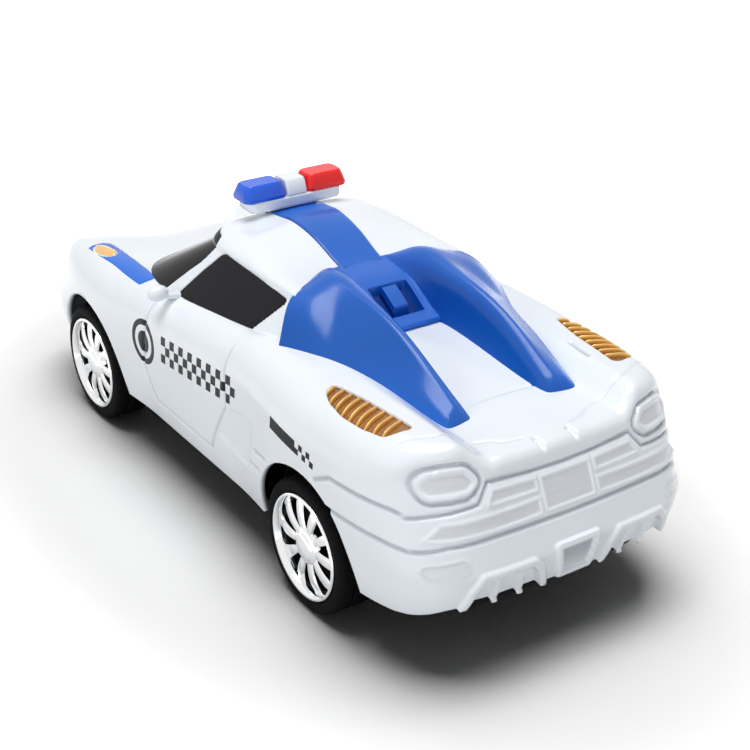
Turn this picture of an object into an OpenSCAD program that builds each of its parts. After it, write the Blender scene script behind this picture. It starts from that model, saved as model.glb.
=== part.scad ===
// Toy patrol car: hollow body on a chassis, four wheels on two axles, friction drive on the rear axle.
// +X forward, +Y left, +Z up; the ground is z = 0 and the origin lies under the middle of the body.

/* [Body] */
// Distance between the axles
wheelbase = 130; // [122:1:140]
// Body length behind the rear axle
rear_overhang = 52; // [48:1:57]
// Body length ahead of the front axle
front_overhang = 50; // [46:1:54]
// Width of the body over the wheel arches
body_w = 99; // [96:1:104]
// Height of the lower edge of the body
sill_z = 17; // [16:0.5:19]
// Height of the rear wings
wing_z = 62; // [60:0.5:65]
// Height of the rear deck between the wings
deck_z = 56.5; // [55:0.5:58]
// Height of the body at the foot of the windows
belt_z = 57.5; // [56:0.5:59]
// Height of the tip of the bonnet
nose_z = 40; // [37:0.5:43]
// Height of the roof
roof_z = 79; // [77:0.5:83]
// Wall thickness of the body
wall = 2; // [1.8:0.1:2.4]
// Width of the cabin at the foot of the windows
cabin_w = 78; // [75:1:81]
// Width of the cabin at the edge of the roof
roof_w = 57.4; // [54:0.2:60]

/* [Wheels] */
// Height of the tyre walls over the rims
tyre_h = 3.9; // [3.4:0.1:4.4]
// Width of the tyres
tyre_w = 13.6; // [12:0.2:14.4]
// Diameter of the bright rim flange
rim_d = 29.8; // [27:0.2:31]
// Number of spokes
spokes = 10; // [6:1:12]
// Diameter of the axles
axle_d = 3; // [2.5:0.1:3.5]
// Room between tyre and wheel arch
arch_gap = 4.4; // [4:0.1:5]
// How far the rims stand inside the widest part of the body
wheel_inset = 1; // [0.8:0.1:2]

/* [Light bar] */
// Length of the light bar over its lenses
bar_l = 35; // [30:0.5:40]
// Width of the light bar base
bar_w = 9.6; // [8:0.2:12]
// Height of the lenses
lens_h = 4.8; // [4:0.2:7]
// Gap between the two lenses
lens_gap = 7; // [5:0.5:9]

/* [Drive] */
// Gear module
gear_m = 0.5; // [0.46:0.02:0.52]
// Teeth of the wheels of the drive
gear_teeth = 30; // [28:1:31]
// Teeth of the pinions of the drive
pinion_teeth = 10; // [10:1:11]
// Thickness of the flywheel
flywheel_t = 7.5; // [5:0.5:8]

/* [Fits] */
// Gap around panels set into the body
fit = 0.15; // [0.1:0.05:0.25]
// Radial clearance of turning shafts
running = 0.05; // [0.03:0.01:0.08]
// Play between gear flanks
gear_lash = 0.1; // [0.08:0.01:0.14]

/* [Hidden] */
$fn = 48;
half_l = (wheelbase + rear_overhang + front_overhang) / 2;
half_w = body_w / 2;
tyre_d = rim_d + 2 * tyre_h;
x_rear = -half_l;
x_front = half_l;
rear_x = x_rear + rear_overhang;
front_x = rear_x + wheelbase;
axle_z = tyre_d / 2;
arch_r = tyre_d / 2 + arch_gap;
face_y = half_w - wheel_inset;
mid_z = sill_z + 17;
bumper_z = sill_z + 14;
nose_line_z = sill_z + 12;
cowl_x = front_x - 15;
corner_n = 6.4;
cabin_tail_n = 12;
cabin_nose_n = 4;
corner_b = 0.88;
end_ribs = 5;
rear_tuck = 4.5;
rear_lean = 13;
nose_tuck = 5;
nose_lean = 12;
waist_in = 2.2;
side_tuck = 2.2;
side_lean = 2;
nose_narrow = 3;
end_bow = 2;
side_edge = 10;
rear_edge = 4;
edge_k = 0.77;
edge_n = 2.2;
wing_y = half_w - 14;
groove_d = 0.7;
groove_r = 0.5;
proud = 0.4;
stripe_w = 14.2;
roof_side_z = roof_z - 4;
roof_edge_z = roof_z - 7;
cabin_x = front_x - 66;
bar_x = front_x - 46.5;
white = [0.93, 0.94, 0.95];
blue = [0.08, 0.3, 0.85];
amber = [0.95, 0.6, 0.1];
black = [0.06, 0.06, 0.07];
bright = [0.8, 0.81, 0.83];

// Shared functions

function mix(a, b, t) = a + (b - a) * t;
function ease(t) = let (s = max(0, min(1, t))) s * s * (3 - 2 * s);
function span_of(x, t, i = 0) = i >= len(t) - 2 || x < t[i + 1][0] ? i : span_of(x, t, i + 1);
function lean_of(t, i) =
    let (a = max(0, i - 1), b = min(len(t) - 1, i + 1))
    (t[b][1] - t[a][1]) / (t[b][0] - t[a][0]);
// Smooth curve through the stations of a table
function along(x, t) =
    let (
        i = span_of(x, t),
        h = t[i + 1][0] - t[i][0],
        s = max(0, min(1, (x - t[i][0]) / h)),
        q = s * s,
        c = q * s
    )
    (2 * c - 3 * q + 1) * t[i][1] + (c - 2 * q + s) * h * lean_of(t, i)
        + (3 * q - 2 * c) * t[i + 1][1] + (c - q) * h * lean_of(t, i + 1);
function round_end(b, n) = pow(1 - pow(b, n), 1 / n);
// Half outline from the middle of the rear to the middle of the front, in shares of length and width
function half_outline(ns, tail_n, nose_n) =
    let (
        tail = round_end(corner_b, tail_n),
        nose = round_end(corner_b, nose_n),
        ends = [for (i = [0:end_ribs - 1]) corner_b * pow(i / end_ribs, 0.8)]
    )
    concat(
        [for (b = ends) [-round_end(b, tail_n), b]],
        [for (i = [0:ns])
            let (a = mix(-tail, nose, i / ns))
            [a, round_end(abs(a), a < 0 ? tail_n : nose_n)]],
        [for (i = [end_ribs - 1:-1:0]) [round_end(ends[i], nose_n), ends[i]]]
    );
// How far the rounded edge drops at share k of the way out
function edge_drop(k) = k <= edge_k ? 0 : 1 - pow(1 - pow((k - edge_k) / (1 - edge_k), edge_n), 1 / edge_n);

// Lower body

centre_line = [
    [x_rear, deck_z - 1],
    [x_rear + 14, deck_z],
    [rear_x - 18, deck_z + 0.7],
    [rear_x + 17, deck_z + 5],
    [rear_x + 50, belt_z + 2],
    [cowl_x, belt_z - 1],
    [front_x + 8, belt_z - 4],
    [x_front - 16, nose_z + 6],
    [x_front, nose_z - 2]
];
wing_line = [
    [x_rear, wing_z - 2.5],
    [x_rear + 14, wing_z - 0.6],
    [rear_x, wing_z + 0.3],
    [rear_x + 34, wing_z + 1],
    [rear_x + 46, belt_z + 3.4],
    [front_x - 45, belt_z],
    [front_x - 25, belt_z - 1.3],
    [front_x, belt_z - 2.5],
    [x_front - 22, belt_z - 7],
    [x_front - 8, nose_z + 4],
    [x_front, nose_z - 2]
];
function rear_rake(z) = z < bumper_z
    ? rear_tuck * pow((bumper_z - z) / (bumper_z - sill_z), 2)
    : rear_lean * pow((z - bumper_z) / (wing_z - bumper_z), 1.2);
function front_rake(z) = z < nose_line_z
    ? nose_tuck * pow((nose_line_z - z) / (nose_line_z - sill_z), 2)
    : nose_lean * pow((z - nose_line_z) / (nose_z - nose_line_z + 8), 1.5);
function side_in(x, z) =
    waist_in * ease((x - rear_x - 6) / 34) * ease((front_x - 6 - x) / 34)
    + (z < mid_z
        ? side_tuck * pow((mid_z - z) / (mid_z - sill_z), 2)
        : side_lean * pow((z - mid_z) / (wing_z - mid_z), 2))
    + nose_narrow * ease((x - front_x) / front_overhang);
function wall_point(a, b, z, off) =
    let (x = a < 0
        ? -a * (x_rear + off + rear_rake(z) + end_bow * b * b)
        : a * (x_front - off - front_rake(z) - end_bow * b * b))
    [x, b * (half_w - off - side_in(x, z)), z];
// Height of the upper surface of the lower body
function top_z(x, y) =
    let (
        f = ease((x - rear_x) / wheelbase),
        s = ease((abs(y) - mix(14, 10, f)) / mix(9, 22, f)),
        d = max(0, abs(y) - wing_y)
    )
    mix(along(x, centre_line), along(x, wing_line), s) - 0.02 * d * d;
function edge_height(a) = mix(rear_edge, side_edge, ease((a + 0.985) / 0.12));
function tub_rib(a, b, off, nz, ks) =
    let (
        o = wall_point(a, b, mid_z + 14, off),
        h = edge_height(a),
        zs = top_z(o.x, o.y) - off - h,
        e = wall_point(a, b, zs, off),
        xs = max(x_rear + 22, min(x_front - 22, e.x)),
        z0 = off > 0 ? sill_z - 2 : sill_z
    )
    concat(
        [for (j = [0:nz]) wall_point(a, b, mix(z0, zs, j / nz), off)],
        [for (k = ks) let (x = mix(xs, e.x, k), y = k * e.y) [x, y, top_z(x, y) - off - h * edge_drop(k)]]
    );
function tub_spine(a, b, off) =
    let (x = max(x_rear + 22, min(x_front - 22, wall_point(a, b, mid_z + 10, off).x)))
    [x, 0, top_z(x, 0) - off];

// Cabin

roof_line = [
    [rear_x + 22, roof_z - 13],
    [rear_x + 45.8, roof_z - 6.7],
    [mix(rear_x + 45.8, front_x - 46, 0.319), roof_z - 2],
    [mix(rear_x + 45.8, front_x - 46, 0.581), roof_z],
    [mix(rear_x + 45.8, front_x - 46, 0.79), roof_z - 0.5],
    [front_x - 46, roof_z - 1.4],
    [front_x - 36, roof_z - 3.6]
];
// Height of the roof, falling from its middle line to its sides
function roof_at(x, y) = mix(along(x, roof_line), roof_side_z, pow(min(1, 2 * abs(y) / roof_w), 2));
function cabin_edge(a, b, off, tail, nose, w) =
    let (x = a < 0 ? cabin_x + a * (cabin_x - tail - off) : cabin_x + a * (nose - off - cabin_x))
    [x, b * (w / 2 - off)];
cabin_tail = rear_x + 20;
roof_tail = rear_x + 24;
roof_nose = front_x - 41;
function cabin_middle(x) = max(roof_tail + 8, min(roof_nose - 8, x));
function cabin_rib(a, b, off, nz, ks) =
    let (
        p = cabin_edge(a, b, off, cabin_tail, cowl_x, cabin_w),
        q = cabin_edge(a, b, off, roof_tail, roof_nose, roof_w),
        h = roof_side_z - roof_edge_z
    )
    concat(
        [for (j = [0:nz])
            let (s = mix(-0.5, 1, j / nz), m = mix(p, q, s))
            [m.x, m.y, mix(belt_z, roof_edge_z - off, s)]],
        [for (k = ks)
            let (x = mix(cabin_middle(q.x), q.x, k))
            [x, k * q.y, mix(along(x, roof_line), roof_side_z, k * k) - off - h * edge_drop(k)]]
    );
function cabin_spine(a, b, off) =
    let (x = cabin_middle(cabin_edge(a, b, off, roof_tail, roof_nose, roof_w).x))
    [x, 0, along(x, roof_line) - off];

// Closed body from the ribs of its left half and the points of its spine
module fan_solid(ribs, spine) {
    m = len(ribs[0]);
    half = len(ribs) - 1;
    around = 2 * half;
    base = around * m;
    last = len(spine) - 1;
    at = function (r) max(0, min(last, (r <= half ? r : around - r) - end_ribs));
    left = [for (r = ribs) each r];
    right = [for (i = [half - 1:-1:1]) each [for (p = ribs[i]) [p.x, -p.y, p.z]]];
    polyhedron(
        points = concat(left, right, spine),
        faces = concat(
            [for (r = [0:around - 1], j = [0:m - 2])
                let (q = (r + 1) % around)
                each [[r * m + j, q * m + j, q * m + j + 1], [r * m + j, q * m + j + 1, r * m + j + 1]]],
            [for (r = [0:around - 1])
                let (q = (r + 1) % around, s = at(r), t = at(q), u = r * m + m - 1, v = q * m + m - 1)
                each s == t ? [[u, v, base + s]] : [[u, v, base + t], [u, base + t, base + s]]],
            [[for (r = [around - 1:-1:0]) r * m]]
        ),
        convexity = 8
    );
}

module tub(off = 0, coarse = false) {
    ns = coarse ? 10 : 19;
    nz = coarse ? 2 : 4;
    ks = coarse ? [0.94, 0.8, 0.48, 0.28] : [0.97, 0.91, 0.82, 0.64, 0.48, 0.38, 0.28];
    outline = half_outline(ns, corner_n, corner_n);
    fan_solid(
        [for (p = outline) tub_rib(p[0], p[1], off, nz, ks)],
        [for (i = [0:ns]) let (p = outline[end_ribs + i]) tub_spine(p[0], p[1], off)]
    );
}

module cabin(off = 0, coarse = false) {
    ns = coarse ? 9 : 12;
    nz = coarse ? 1 : 2;
    ks = coarse ? [0.95, 0.8, 0.55, 0.28] : [0.97, 0.9, 0.8, 0.55, 0.28];
    outline = half_outline(ns, cabin_tail_n, cabin_nose_n);
    fan_solid(
        [for (p = outline) cabin_rib(p[0], p[1], off, nz, ks)],
        [for (i = [0:ns]) let (p = outline[end_ribs + i]) cabin_spine(p[0], p[1], off)]
    );
}

module body_form(off = 0, coarse = false) {
    tub(off, coarse);
    cabin(off, coarse);
}

// Skin of the lower body between two depths
module tub_skin(outer, inner) {
    difference() {
        tub(outer);
        tub(inner);
    }
}

// Shapes laid on the body

function out_of(a, b) = [b.y - a.y, a.x - b.x] / norm(b - a);
function middle(pts) = [for (k = [0, 1]) [for (p = pts) p[k]] * [for (p = pts) 1] / len(pts)];
// Outline moved outward by d
function grown(pts, d) =
    let (n = len(pts), c = middle(pts))
    [for (i = [0:n - 1])
        let (
            u = out_of(pts[(i + n - 1) % n], pts[i]),
            v = out_of(pts[i], pts[(i + 1) % n]),
            side = sign(u * (pts[i] - c))
        )
        pts[i] + d * side * (u + v) / (1 + u * v)];
// Patch inside an outline, fanned from its middle
module patch(pts, r, h) {
    q = grown(pts, r);
    n = len(q);
    for (i = [0:n - 1])
        hull() linear_extrude(h) polygon([middle(q), q[i], q[(i + 1) % n]]);
}

// Line of even width through points
module trace(pts, r, h, closed = false) {
    n = len(pts);
    for (i = [0:closed ? n - 1 : n - 2])
        hull() {
            translate(pts[i]) cylinder(r = r, h = h, $fn = 4);
            translate(pts[(i + 1) % n]) cylinder(r = r, h = h, $fn = 4);
        }
}

// Drawings given as y and z, pushed through the rear face
module at_rear() translate([x_rear - 6, 0, 0]) rotate([90, 0, 90]) children();

// Drawings given as y and z, pushed through the front face
module at_front() translate([x_front - 24, 0, 0]) rotate([90, 0, 90]) children();

// Drawings given as x and z, pushed through both sides
module at_sides() translate([0, half_w + 6, 0]) rotate([90, 0, 0]) children();

module both() {
    children();
    mirror([0, 1, 0]) children();
}

window_pts = [
    [front_x - 45, belt_z + 0.4],
    [front_x - 51, belt_z + 7],
    [front_x - 57, roof_z - 7],
    [mix(rear_x + 39.5, front_x - 57, 0.433), roof_z - 6.6],
    [rear_x + 39.5, roof_z - 7],
    [rear_x + 37.5, belt_z + 9],
    [rear_x + 44, belt_z + 3.9],
    [mix(rear_x + 44, front_x - 45, 0.439), belt_z + 2]
];
screen_pts = [
    [front_x - 38, belt_z + 0.4],
    [front_x - 43, belt_z + 6],
    [front_x - 48, belt_z + 11],
    [front_x - 51, roof_z - 5.2],
    [front_x - 30, roof_z - 5.2],
    [front_x, roof_z - 5.2],
    [front_x, belt_z + 6],
    [front_x, belt_z + 0.4],
    [front_x - 20, belt_z + 0.4]
];
trim_pts = [
    [front_x - 26, wing_y + 6.5],
    [front_x - 26.5, wing_y + 3],
    [front_x - 24.5, wing_y - 0.5],
    [front_x - 5, wing_y - 2.5],
    [front_x + 14, wing_y - 4.5],
    [front_x + 22, wing_y - 3],
    [front_x + 23, wing_y + 1.5],
    [front_x + 16, wing_y + 4],
    [front_x, wing_y + 6]
];
lamp_pts = [for (i = [0:9]) [front_x + 14.5 + 6 * cos(36 * i), wing_y - 0.2 + 2 * sin(36 * i)]];
grille_pts = [
    [rear_x + 1.5, wing_y + 1.5],
    [rear_x - 8, wing_y - 0.5],
    [rear_x - 26, wing_y - 2.5],
    [rear_x - 25, wing_y + 3.6],
    [rear_x - 18, wing_y + 5.2],
    [rear_x - 10, wing_y + 5.8],
    [rear_x - 3, wing_y + 5],
    [rear_x + 0.5, wing_y + 3.5]
];
stripe_pts = [for (i = [0:9]) let (s = i < 5 ? 1 : -1, t = i < 5 ? i / 4 : (9 - i) / 4)
    [mix(rear_x + 44.6, bar_x + 1.6, t), s * (stripe_w / 2 - 0.6)]];

module side_window_shape(grow)
    translate([0, half_w, 0]) rotate([90, 0, 0]) patch(window_pts, 1.2 + grow, half_w - roof_w / 2 + 5 + 4 * grow);
module windscreen_shape(grow) translate([0, half_w, 0]) rotate([90, 0, 0]) patch(screen_pts, 1.2 + grow, body_w);
module trim_shape(grow) translate([0, 0, nose_z - 4]) patch(trim_pts, 1 + grow, 40);
module lamp_shape(grow) translate([0, 0, nose_z - 4]) patch(lamp_pts, 1.2 + grow, 40);
module grille_shape(grow) translate([0, 0, deck_z - 6]) patch(grille_pts, 1 + grow, 40);
module stripe_shape(grow) translate([0, 0, belt_z]) patch(stripe_pts, 0.6 + grow, 40);

// Engine cover

cover_w = body_w - 23;
bridge_x = rear_x + 19;
shelf_x = rear_x + 33;
roof_end_x = rear_x + 45.5;
function bridge_z(x) = along(x, [
    [bridge_x, deck_z + 6.2],
    [bridge_x + 3, deck_z + 7.6],
    [shelf_x, roof_z - 8.6],
    [roof_end_x, roof_z - 6.9]
]);
// Rails of the left buttress: inner foot, inner shoulder, outer shoulder, flank and outer foot
function rail(i, s) =
    let (
        x = rear_x + along(s, [
            [0, [45.5, 45.5, 38.5, 34, 27][i]],
            [0.3, [29, 29, 23.5, 19, 11][i]],
            [0.65, [6, 6, 1, -1, -5][i]],
            [1, [-18, -18.3, -18.6, -18.7, -18.7][i]]
        ]),
        y = cover_w / 76 * along(s, [
            [0, [7.2, 9, 21.5, 28, 38][i]],
            [0.3, [8, 11, 20.2, 28.2, 35][i]],
            [0.65, [10, 13.2, 19, 25, 30.5][i]],
            [1, [12, 14, 17.6, 19.6, 21.3][i]]
        ]),
        lift = along(s, [
            [0, [0, roof_z - 6.5, roof_z - 4.2, roof_z - 6, 0][i]],
            [0.3, [0, roof_z - 4.9, roof_z - 7, roof_z - 10.6, 0][i]],
            [0.65, [0, roof_z - 9.4, roof_z - 11.6, roof_z - 14, 0][i]],
            [1, [0, deck_z + 1.6, deck_z + 1.6, deck_z + 1.2, 0][i]]
        ]),
        rest = top_z(x, y) - 0.9,
        foot = i == 0 ? mix(rest, bridge_z(x) - 0.6, ease((x - bridge_x + 4) / 8)) : rest
    )
    [x, y, i == 0 || i == 4 ? foot : i == 1 ? mix(bridge_z(x) + 0.4, lift, ease(s / 0.3)) : lift];
function bend(a, b, c, n, w) =
    let (p = mix(a, b, 1 - w), q = mix(b, c, w))
    [for (j = [0:n]) let (t = j / n) mix(mix(p, b, t), mix(b, q, t), t)];
function cover_line(s, shift) =
    let (r = [for (i = [0:4]) rail(i, s) + shift[i]])
    concat([r[0]], bend(r[0], r[1], r[2], 2, 0.4), bend(r[1], r[2], r[3], 2, 0.45), bend(r[2], r[3], r[4], 2, 0.45), [r[4]]);
cover_in = [[0, 1.4, -0.5], [0, 1.6, -1.8], [0, 0, -2.2], [0, -1.2, -1.8], [0, -1.6, -0.5]];
cover_steps = 9;
// Left buttress: skin between two runs of the rails
module buttress(upper, lower, reach) {
    rows = [for (j = [0:cover_steps])
        let (
            s = j / cover_steps,
            d = [reach * (1 - 2 * s), 0, 0],
            u = cover_line(s, upper),
            v = cover_line(s, lower)
        )
        concat([for (p = u) p + d], [for (i = [len(v) - 1:-1:0]) v[i] + d])];
    n = len(rows[0]);
    last = cover_steps * n;
    polyhedron(
        points = [for (r = rows) each r],
        faces = concat(
            [for (j = [0:cover_steps - 1], i = [0:n - 1])
                let (k = (i + 1) % n)
                each [[j * n + i, (j + 1) * n + k, j * n + k], [j * n + i, (j + 1) * n + i, (j + 1) * n + k]]],
            [for (i = [0:n / 2 - 2]) each [[i, i + 1, n - 1 - i], [i + 1, n - 2 - i, n - 1 - i]]],
            [for (i = [0:n / 2 - 2]) each [[last + i, last + n - 1 - i, last + i + 1], [last + i + 1, last + n - 1 - i, last + n - 2 - i]]]
        ),
        convexity = 6
    );
}

// Drawing in x and z, as wide as w on both sides of the middle
module across(w, pts) translate([0, w, 0]) rotate([90, 0, 0]) linear_extrude(2 * w) polygon(pts);

bridge_xs = [for (i = [0:7]) mix(bridge_x, roof_end_x + 0.25, i / 7)];
module bridge(w, t, up)
    across(w, concat(
        [for (x = bridge_xs) [x, bridge_z(x) + up]],
        [for (i = [7:-1:0]) [bridge_xs[i], bridge_z(bridge_xs[i]) - t]]
    ));

module cover_room() {
    up = [for (i = [0:4]) [0, i == 0 ? -fit : i == 4 ? fit : 0, 30]];
    down = [for (i = [0:4]) cover_in[i] + [0, i == 0 ? -fit - 1.4 : i == 4 ? fit + 1.6 : 0, -25]];
    both() buttress(up, down, 4 * fit);
    for (d = [-fit, fit])
        translate([d, 0, -fit]) bridge(bridge_w + 0.3, 7, 25);
    stripe_shape(fit);
}

bridge_w = 10.7;
intake_w = 12.4;
louvre_w = 5;
intake_front = shelf_x - 0.6;
intake_rear = bridge_x + 4;
stripe_front = bar_x + 1;
stripe_xs = [for (i = [0:8]) mix(rear_x + 44, stripe_front, i / 8)];
// Corners of the roof stripe at a station
function stripe_row(x) =
    [for (y = [-stripe_w / 2, 0, stripe_w / 2], d = [proud, 0.6 - wall]) [x, y, roof_at(x, y) + d]];

module engine_cover() color(blue) {
    both() buttress([for (i = [0:4]) [0, 0, 0]], cover_in, 0);
    difference() {
        bridge(bridge_w, 2, 0);
        across(intake_w / 2, [
            [intake_rear, roof_z], [intake_front, roof_z],
            [intake_front, bridge_z(intake_front) - 1.3], [intake_rear, bridge_z(intake_rear) - 1.3]
        ]);
    }
    across(louvre_w / 2, [
        [intake_rear + 2, bridge_z(intake_rear + 2) + 0.8], [intake_front - 0.8, bridge_z(intake_front - 0.8) + 0.6],
        [intake_front - 0.8, bridge_z(intake_front - 0.8) - 1.7], [intake_rear + 2, bridge_z(intake_rear + 2) - 1.7]
    ]);
    for (i = [0:7])
        hull() polyhedron(
            points = concat(stripe_row(stripe_xs[i]), stripe_row(stripe_xs[i + 1])),
            faces = [[0, 1, 3, 5, 4, 2], [6, 8, 10, 11, 9, 7]]
        );
}

// Body shell

post_x = half_l - 19;
post_y = 18;
post_r = 3.2;
screw_r = 1.2;
screw_l = 12;
plate_t = 2;
upper_line = [[-22.6, deck_z - 4.2], [22.6, deck_z - 4.2], [25.8, deck_z - 9.6], [half_w, deck_z - 10.6]];
lamp_ring = [
    [25.6, wing_z - 8], [28.3, wing_z - 4.9], [35.5, wing_z - 5.4], [39.4, wing_z - 7.2],
    [40.4, wing_z - 9.6], [37.6, wing_z - 11.8], [28.2, wing_z - 11.6]
];
lamp_mid = [33.5, wing_z - 8.4];
lamp_panel = [for (p = lamp_ring) lamp_mid + 0.66 * (p - lamp_mid)];
pipe_frame = [[-7, sill_z + 15.2], [7, sill_z + 15.2], [5.2, sill_z + 6.6], [-5.2, sill_z + 6.6]];
pipe_hole = [[-5.4, sill_z + 13.6], [0, sill_z + 13.6], [5.4, sill_z + 13.6], [4, sill_z + 8], [-4, sill_z + 8]];
vent_frame = [[10, sill_z + 4.6], [12.4, sill_z + 12.4], [26, sill_z + 12.2], [29.5, sill_z + 3.6]];
vent_mid = [19.5, sill_z + 8.2];
vent_hole = [for (p = vent_frame) vent_mid + 0.8 * (p - vent_mid)];
door_line = [
    [front_x - 40, belt_z - 3], [front_x - 38, sill_z + 17], [front_x - 44, sill_z + 7],
    [rear_x + 52, sill_z + 7], [rear_x + 48, sill_z + 14], [rear_x + 41.6, sill_z + 24.3], [rear_x + 43, belt_z]
];
scoop_pts = [
    [rear_x + 39.5, sill_z + 25], [rear_x + 45.8, sill_z + 14.5], [rear_x + 42, sill_z + 12.4],
    [rear_x + 28, sill_z + 12], [rear_x + 24.6, sill_z + 26.5], [rear_x + 32, sill_z + 27]
];

module raised_details() {
    intersection() {
        tub_skin(-proud, 1);
        union() {
            at_rear() trace(pipe_frame, 0.9, 30, true);
            both() at_rear() trace(vent_frame, 0.8, 30, true);
        }
    }
}

module cut_details() {
    intersection() {
        tub_skin(-0.6, groove_d);
        union() {
            at_rear() trace(upper_line, groove_r, 44);
            both() at_rear() trace([[0, sill_z + 22.4], [30, sill_z + 21.4], [half_w, sill_z + 19.6]], groove_r, 46);
            both() at_rear() trace(lamp_ring, groove_r, 44, true);
            both() at_sides() trace([[rear_x - 45, deck_z - 10.6], [rear_x - 4, deck_z - 10.6]], groove_r, 20);
            both() at_sides() trace([[rear_x - 45, sill_z + 19.4], [rear_x - 8, sill_z + 19.4]], groove_r, 20);
            both() at_sides() trace(door_line, groove_r, 20);
            both() at_sides() patch(scoop_pts, 0.6, 20);
            both() at_rear() patch(lamp_panel, 0.8, 44);
            both() at_rear() translate([9.4, deck_z - 9.6, 0]) cube([12.6, 3, 16]);
            both() at_rear() translate([9.4, sill_z + 24, 0]) cube([25, 3.8, 16]);
            at_rear() translate([-7.2, sill_z + 25, 0]) cube([14.4, 8, 16]);
            both() at_rear() trace([[30.5, sill_z + 15.2], [38, sill_z + 14.6]], 1.2, 30);
            at_front() trace([[-17, sill_z + 9], [17, sill_z + 9]], 2.6, 30);
            both() at_front() trace([[26, sill_z + 9.6], [36, sill_z + 10.4]], 2, 30);
        }
    }
    at_rear() patch(pipe_hole, 0.4, 12);
    both() difference() {
        at_rear() patch(vent_hole, 0.3, 14);
        for (y = [15, 19.5, 24])
            at_rear() translate([y - 0.7, sill_z, 0]) rotate([0, 0, 12]) cube([1.4, 16, 14]);
    }
}

module body_shell() color(white) difference() {
    union() {
        difference() {
            body_form();
            body_form(wall, true);
        }
        raised_details();
        both() {
            for (x = [-post_x, post_x])
                translate([x, post_y, sill_z + plate_t])
                    cylinder(r = post_r, h = top_z(x, post_y) - wall - sill_z - plate_t + 1, $fn = 16);
            hull() {
                translate([front_x - 34, cabin_w / 2 - 1, belt_z - 1]) sphere(r = 1.6, $fn = 16);
                translate([front_x - 34.5, cabin_w / 2 + 6.5, belt_z + 2.6]) scale([0.8, 1.3, 1]) sphere(r = 2.6, $fn = 16);
            }
        }
    }
    cut_details();
    for (x = [rear_x, front_x])
        translate([x, 0, axle_z]) rotate([90, 0, 0]) cylinder(r = arch_r, h = 2 * body_w, center = true, $fn = 56);
    both() {
        side_window_shape(fit);
        trim_shape(fit);
        grille_shape(fit);
        for (x = [-post_x, post_x])
            translate([x, post_y, sill_z]) cylinder(r = screw_r + 0.1, h = screw_l + 1, $fn = 16);
    }
    windscreen_shape(fit);
    cover_room();
}

// Panes and trims

module set_in(outer, inner, lower = true) {
    difference() {
        if (lower) tub(outer);
        else cabin(outer);
        if (lower) tub(inner);
        else cabin(inner);
    }
}

module windscreen() color(black) intersection() {
    set_in(fit, wall, false);
    windscreen_shape(0);
}

module side_window() color(black) intersection() {
    set_in(fit, wall, false);
    side_window_shape(0);
}

module side_window_left() side_window();
module side_window_right() mirror([0, 1, 0]) side_window();

module fender_trim() color(blue) difference() {
    intersection() {
        set_in(0, wall);
        trim_shape(0);
    }
    lamp_shape(fit);
}

module fender_trim_left() fender_trim();
module fender_trim_right() mirror([0, 1, 0]) fender_trim();

module headlamp() color(amber) intersection() {
    set_in(-0.3, wall - 0.2);
    lamp_shape(0);
}

module headlamp_left() headlamp();
module headlamp_right() mirror([0, 1, 0]) headlamp();

grille_ribs = 8;
module vent_grille() color(amber) union() {
    intersection() {
        set_in(1.8, wall + 1);
        grille_shape(0);
    }
    intersection() {
        set_in(0.4, 2.2);
        grille_shape(-0.2);
        for (i = [0:grille_ribs - 1])
            translate([rear_x + 0.5 - 3.3 * i, wing_y, deck_z - 6])
                rotate([0, 0, 20])
                    translate([-0.6, -10, 0]) cube([1.2, 20, 20]);
    }
}

module vent_grille_left() vent_grille();
module vent_grille_right() mirror([0, 1, 0]) vent_grille();

// Light bar

bar_z = roof_at(bar_x, 0) + proud + 0.9;
tray_t = 3.4;
lens_w = (bar_l - lens_gap) / 2;

module rounded_box(l, w, h, r) {
    translate([0, 0, 0]) linear_extrude(h) offset(r = r, $fn = 24) square([l - 2 * r, w - 2 * r], center = true);
}

module lightbar_base() color(white) {
    translate([bar_x, 0, bar_z]) rounded_box(bar_w, bar_l - 4, tray_t, 2);
    translate([bar_x, 0, roof_at(bar_x - 3.5, 0) + proud + 0.1]) rounded_box(7, 16, 1, 1.5);
}

module lens() translate([bar_x, lens_gap / 2 + lens_w / 2, bar_z + tray_t])
    hull() {
        rounded_box(bar_w, lens_w, 1.2, 2);
        translate([0, 0.3, lens_h - 0.6]) rounded_box(bar_w - 2.4, lens_w - 2, 0.6, 2);
    }

module lightbar_lens_blue() color(blue) lens();
module lightbar_lens_red() color([0.85, 0.05, 0.05]) mirror([0, 1, 0]) lens();

// Chassis

belly_w = 54;
belly_z = 8.5;
belly_t = 2;
well_t = 1.2;
well_y = face_y - tyre_w - 3.2;
well_end = half_w - wall - side_tuck - waist_in - nose_narrow - 0.6;
plate_gap = 0.3;
// Corner of the floor plate, a gap inside the wall of the body
function plate_corner(a, b) =
    let (r = tub_rib(a, b, wall + plate_gap, 2, []), t = (sill_z - r[0].z) / (r[1].z - r[0].z), q = mix(r[0], r[1], t))
    [q.x, q.y];
block_in = 21;

plate_side = [for (p = half_outline(10, corner_n, corner_n)) plate_corner(p[0], p[1])];

module belly(w, z, cut) {
    hull() {
        translate([rear_x - 14 + cut, -w / 2, z]) cube([wheelbase + 28 - 2 * cut, w, 0.1]);
        translate([rear_x - 17 + cut, -w / 2, sill_z + plate_t]) cube([wheelbase + 34 - 2 * cut, w, cut]);
    }
}

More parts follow.
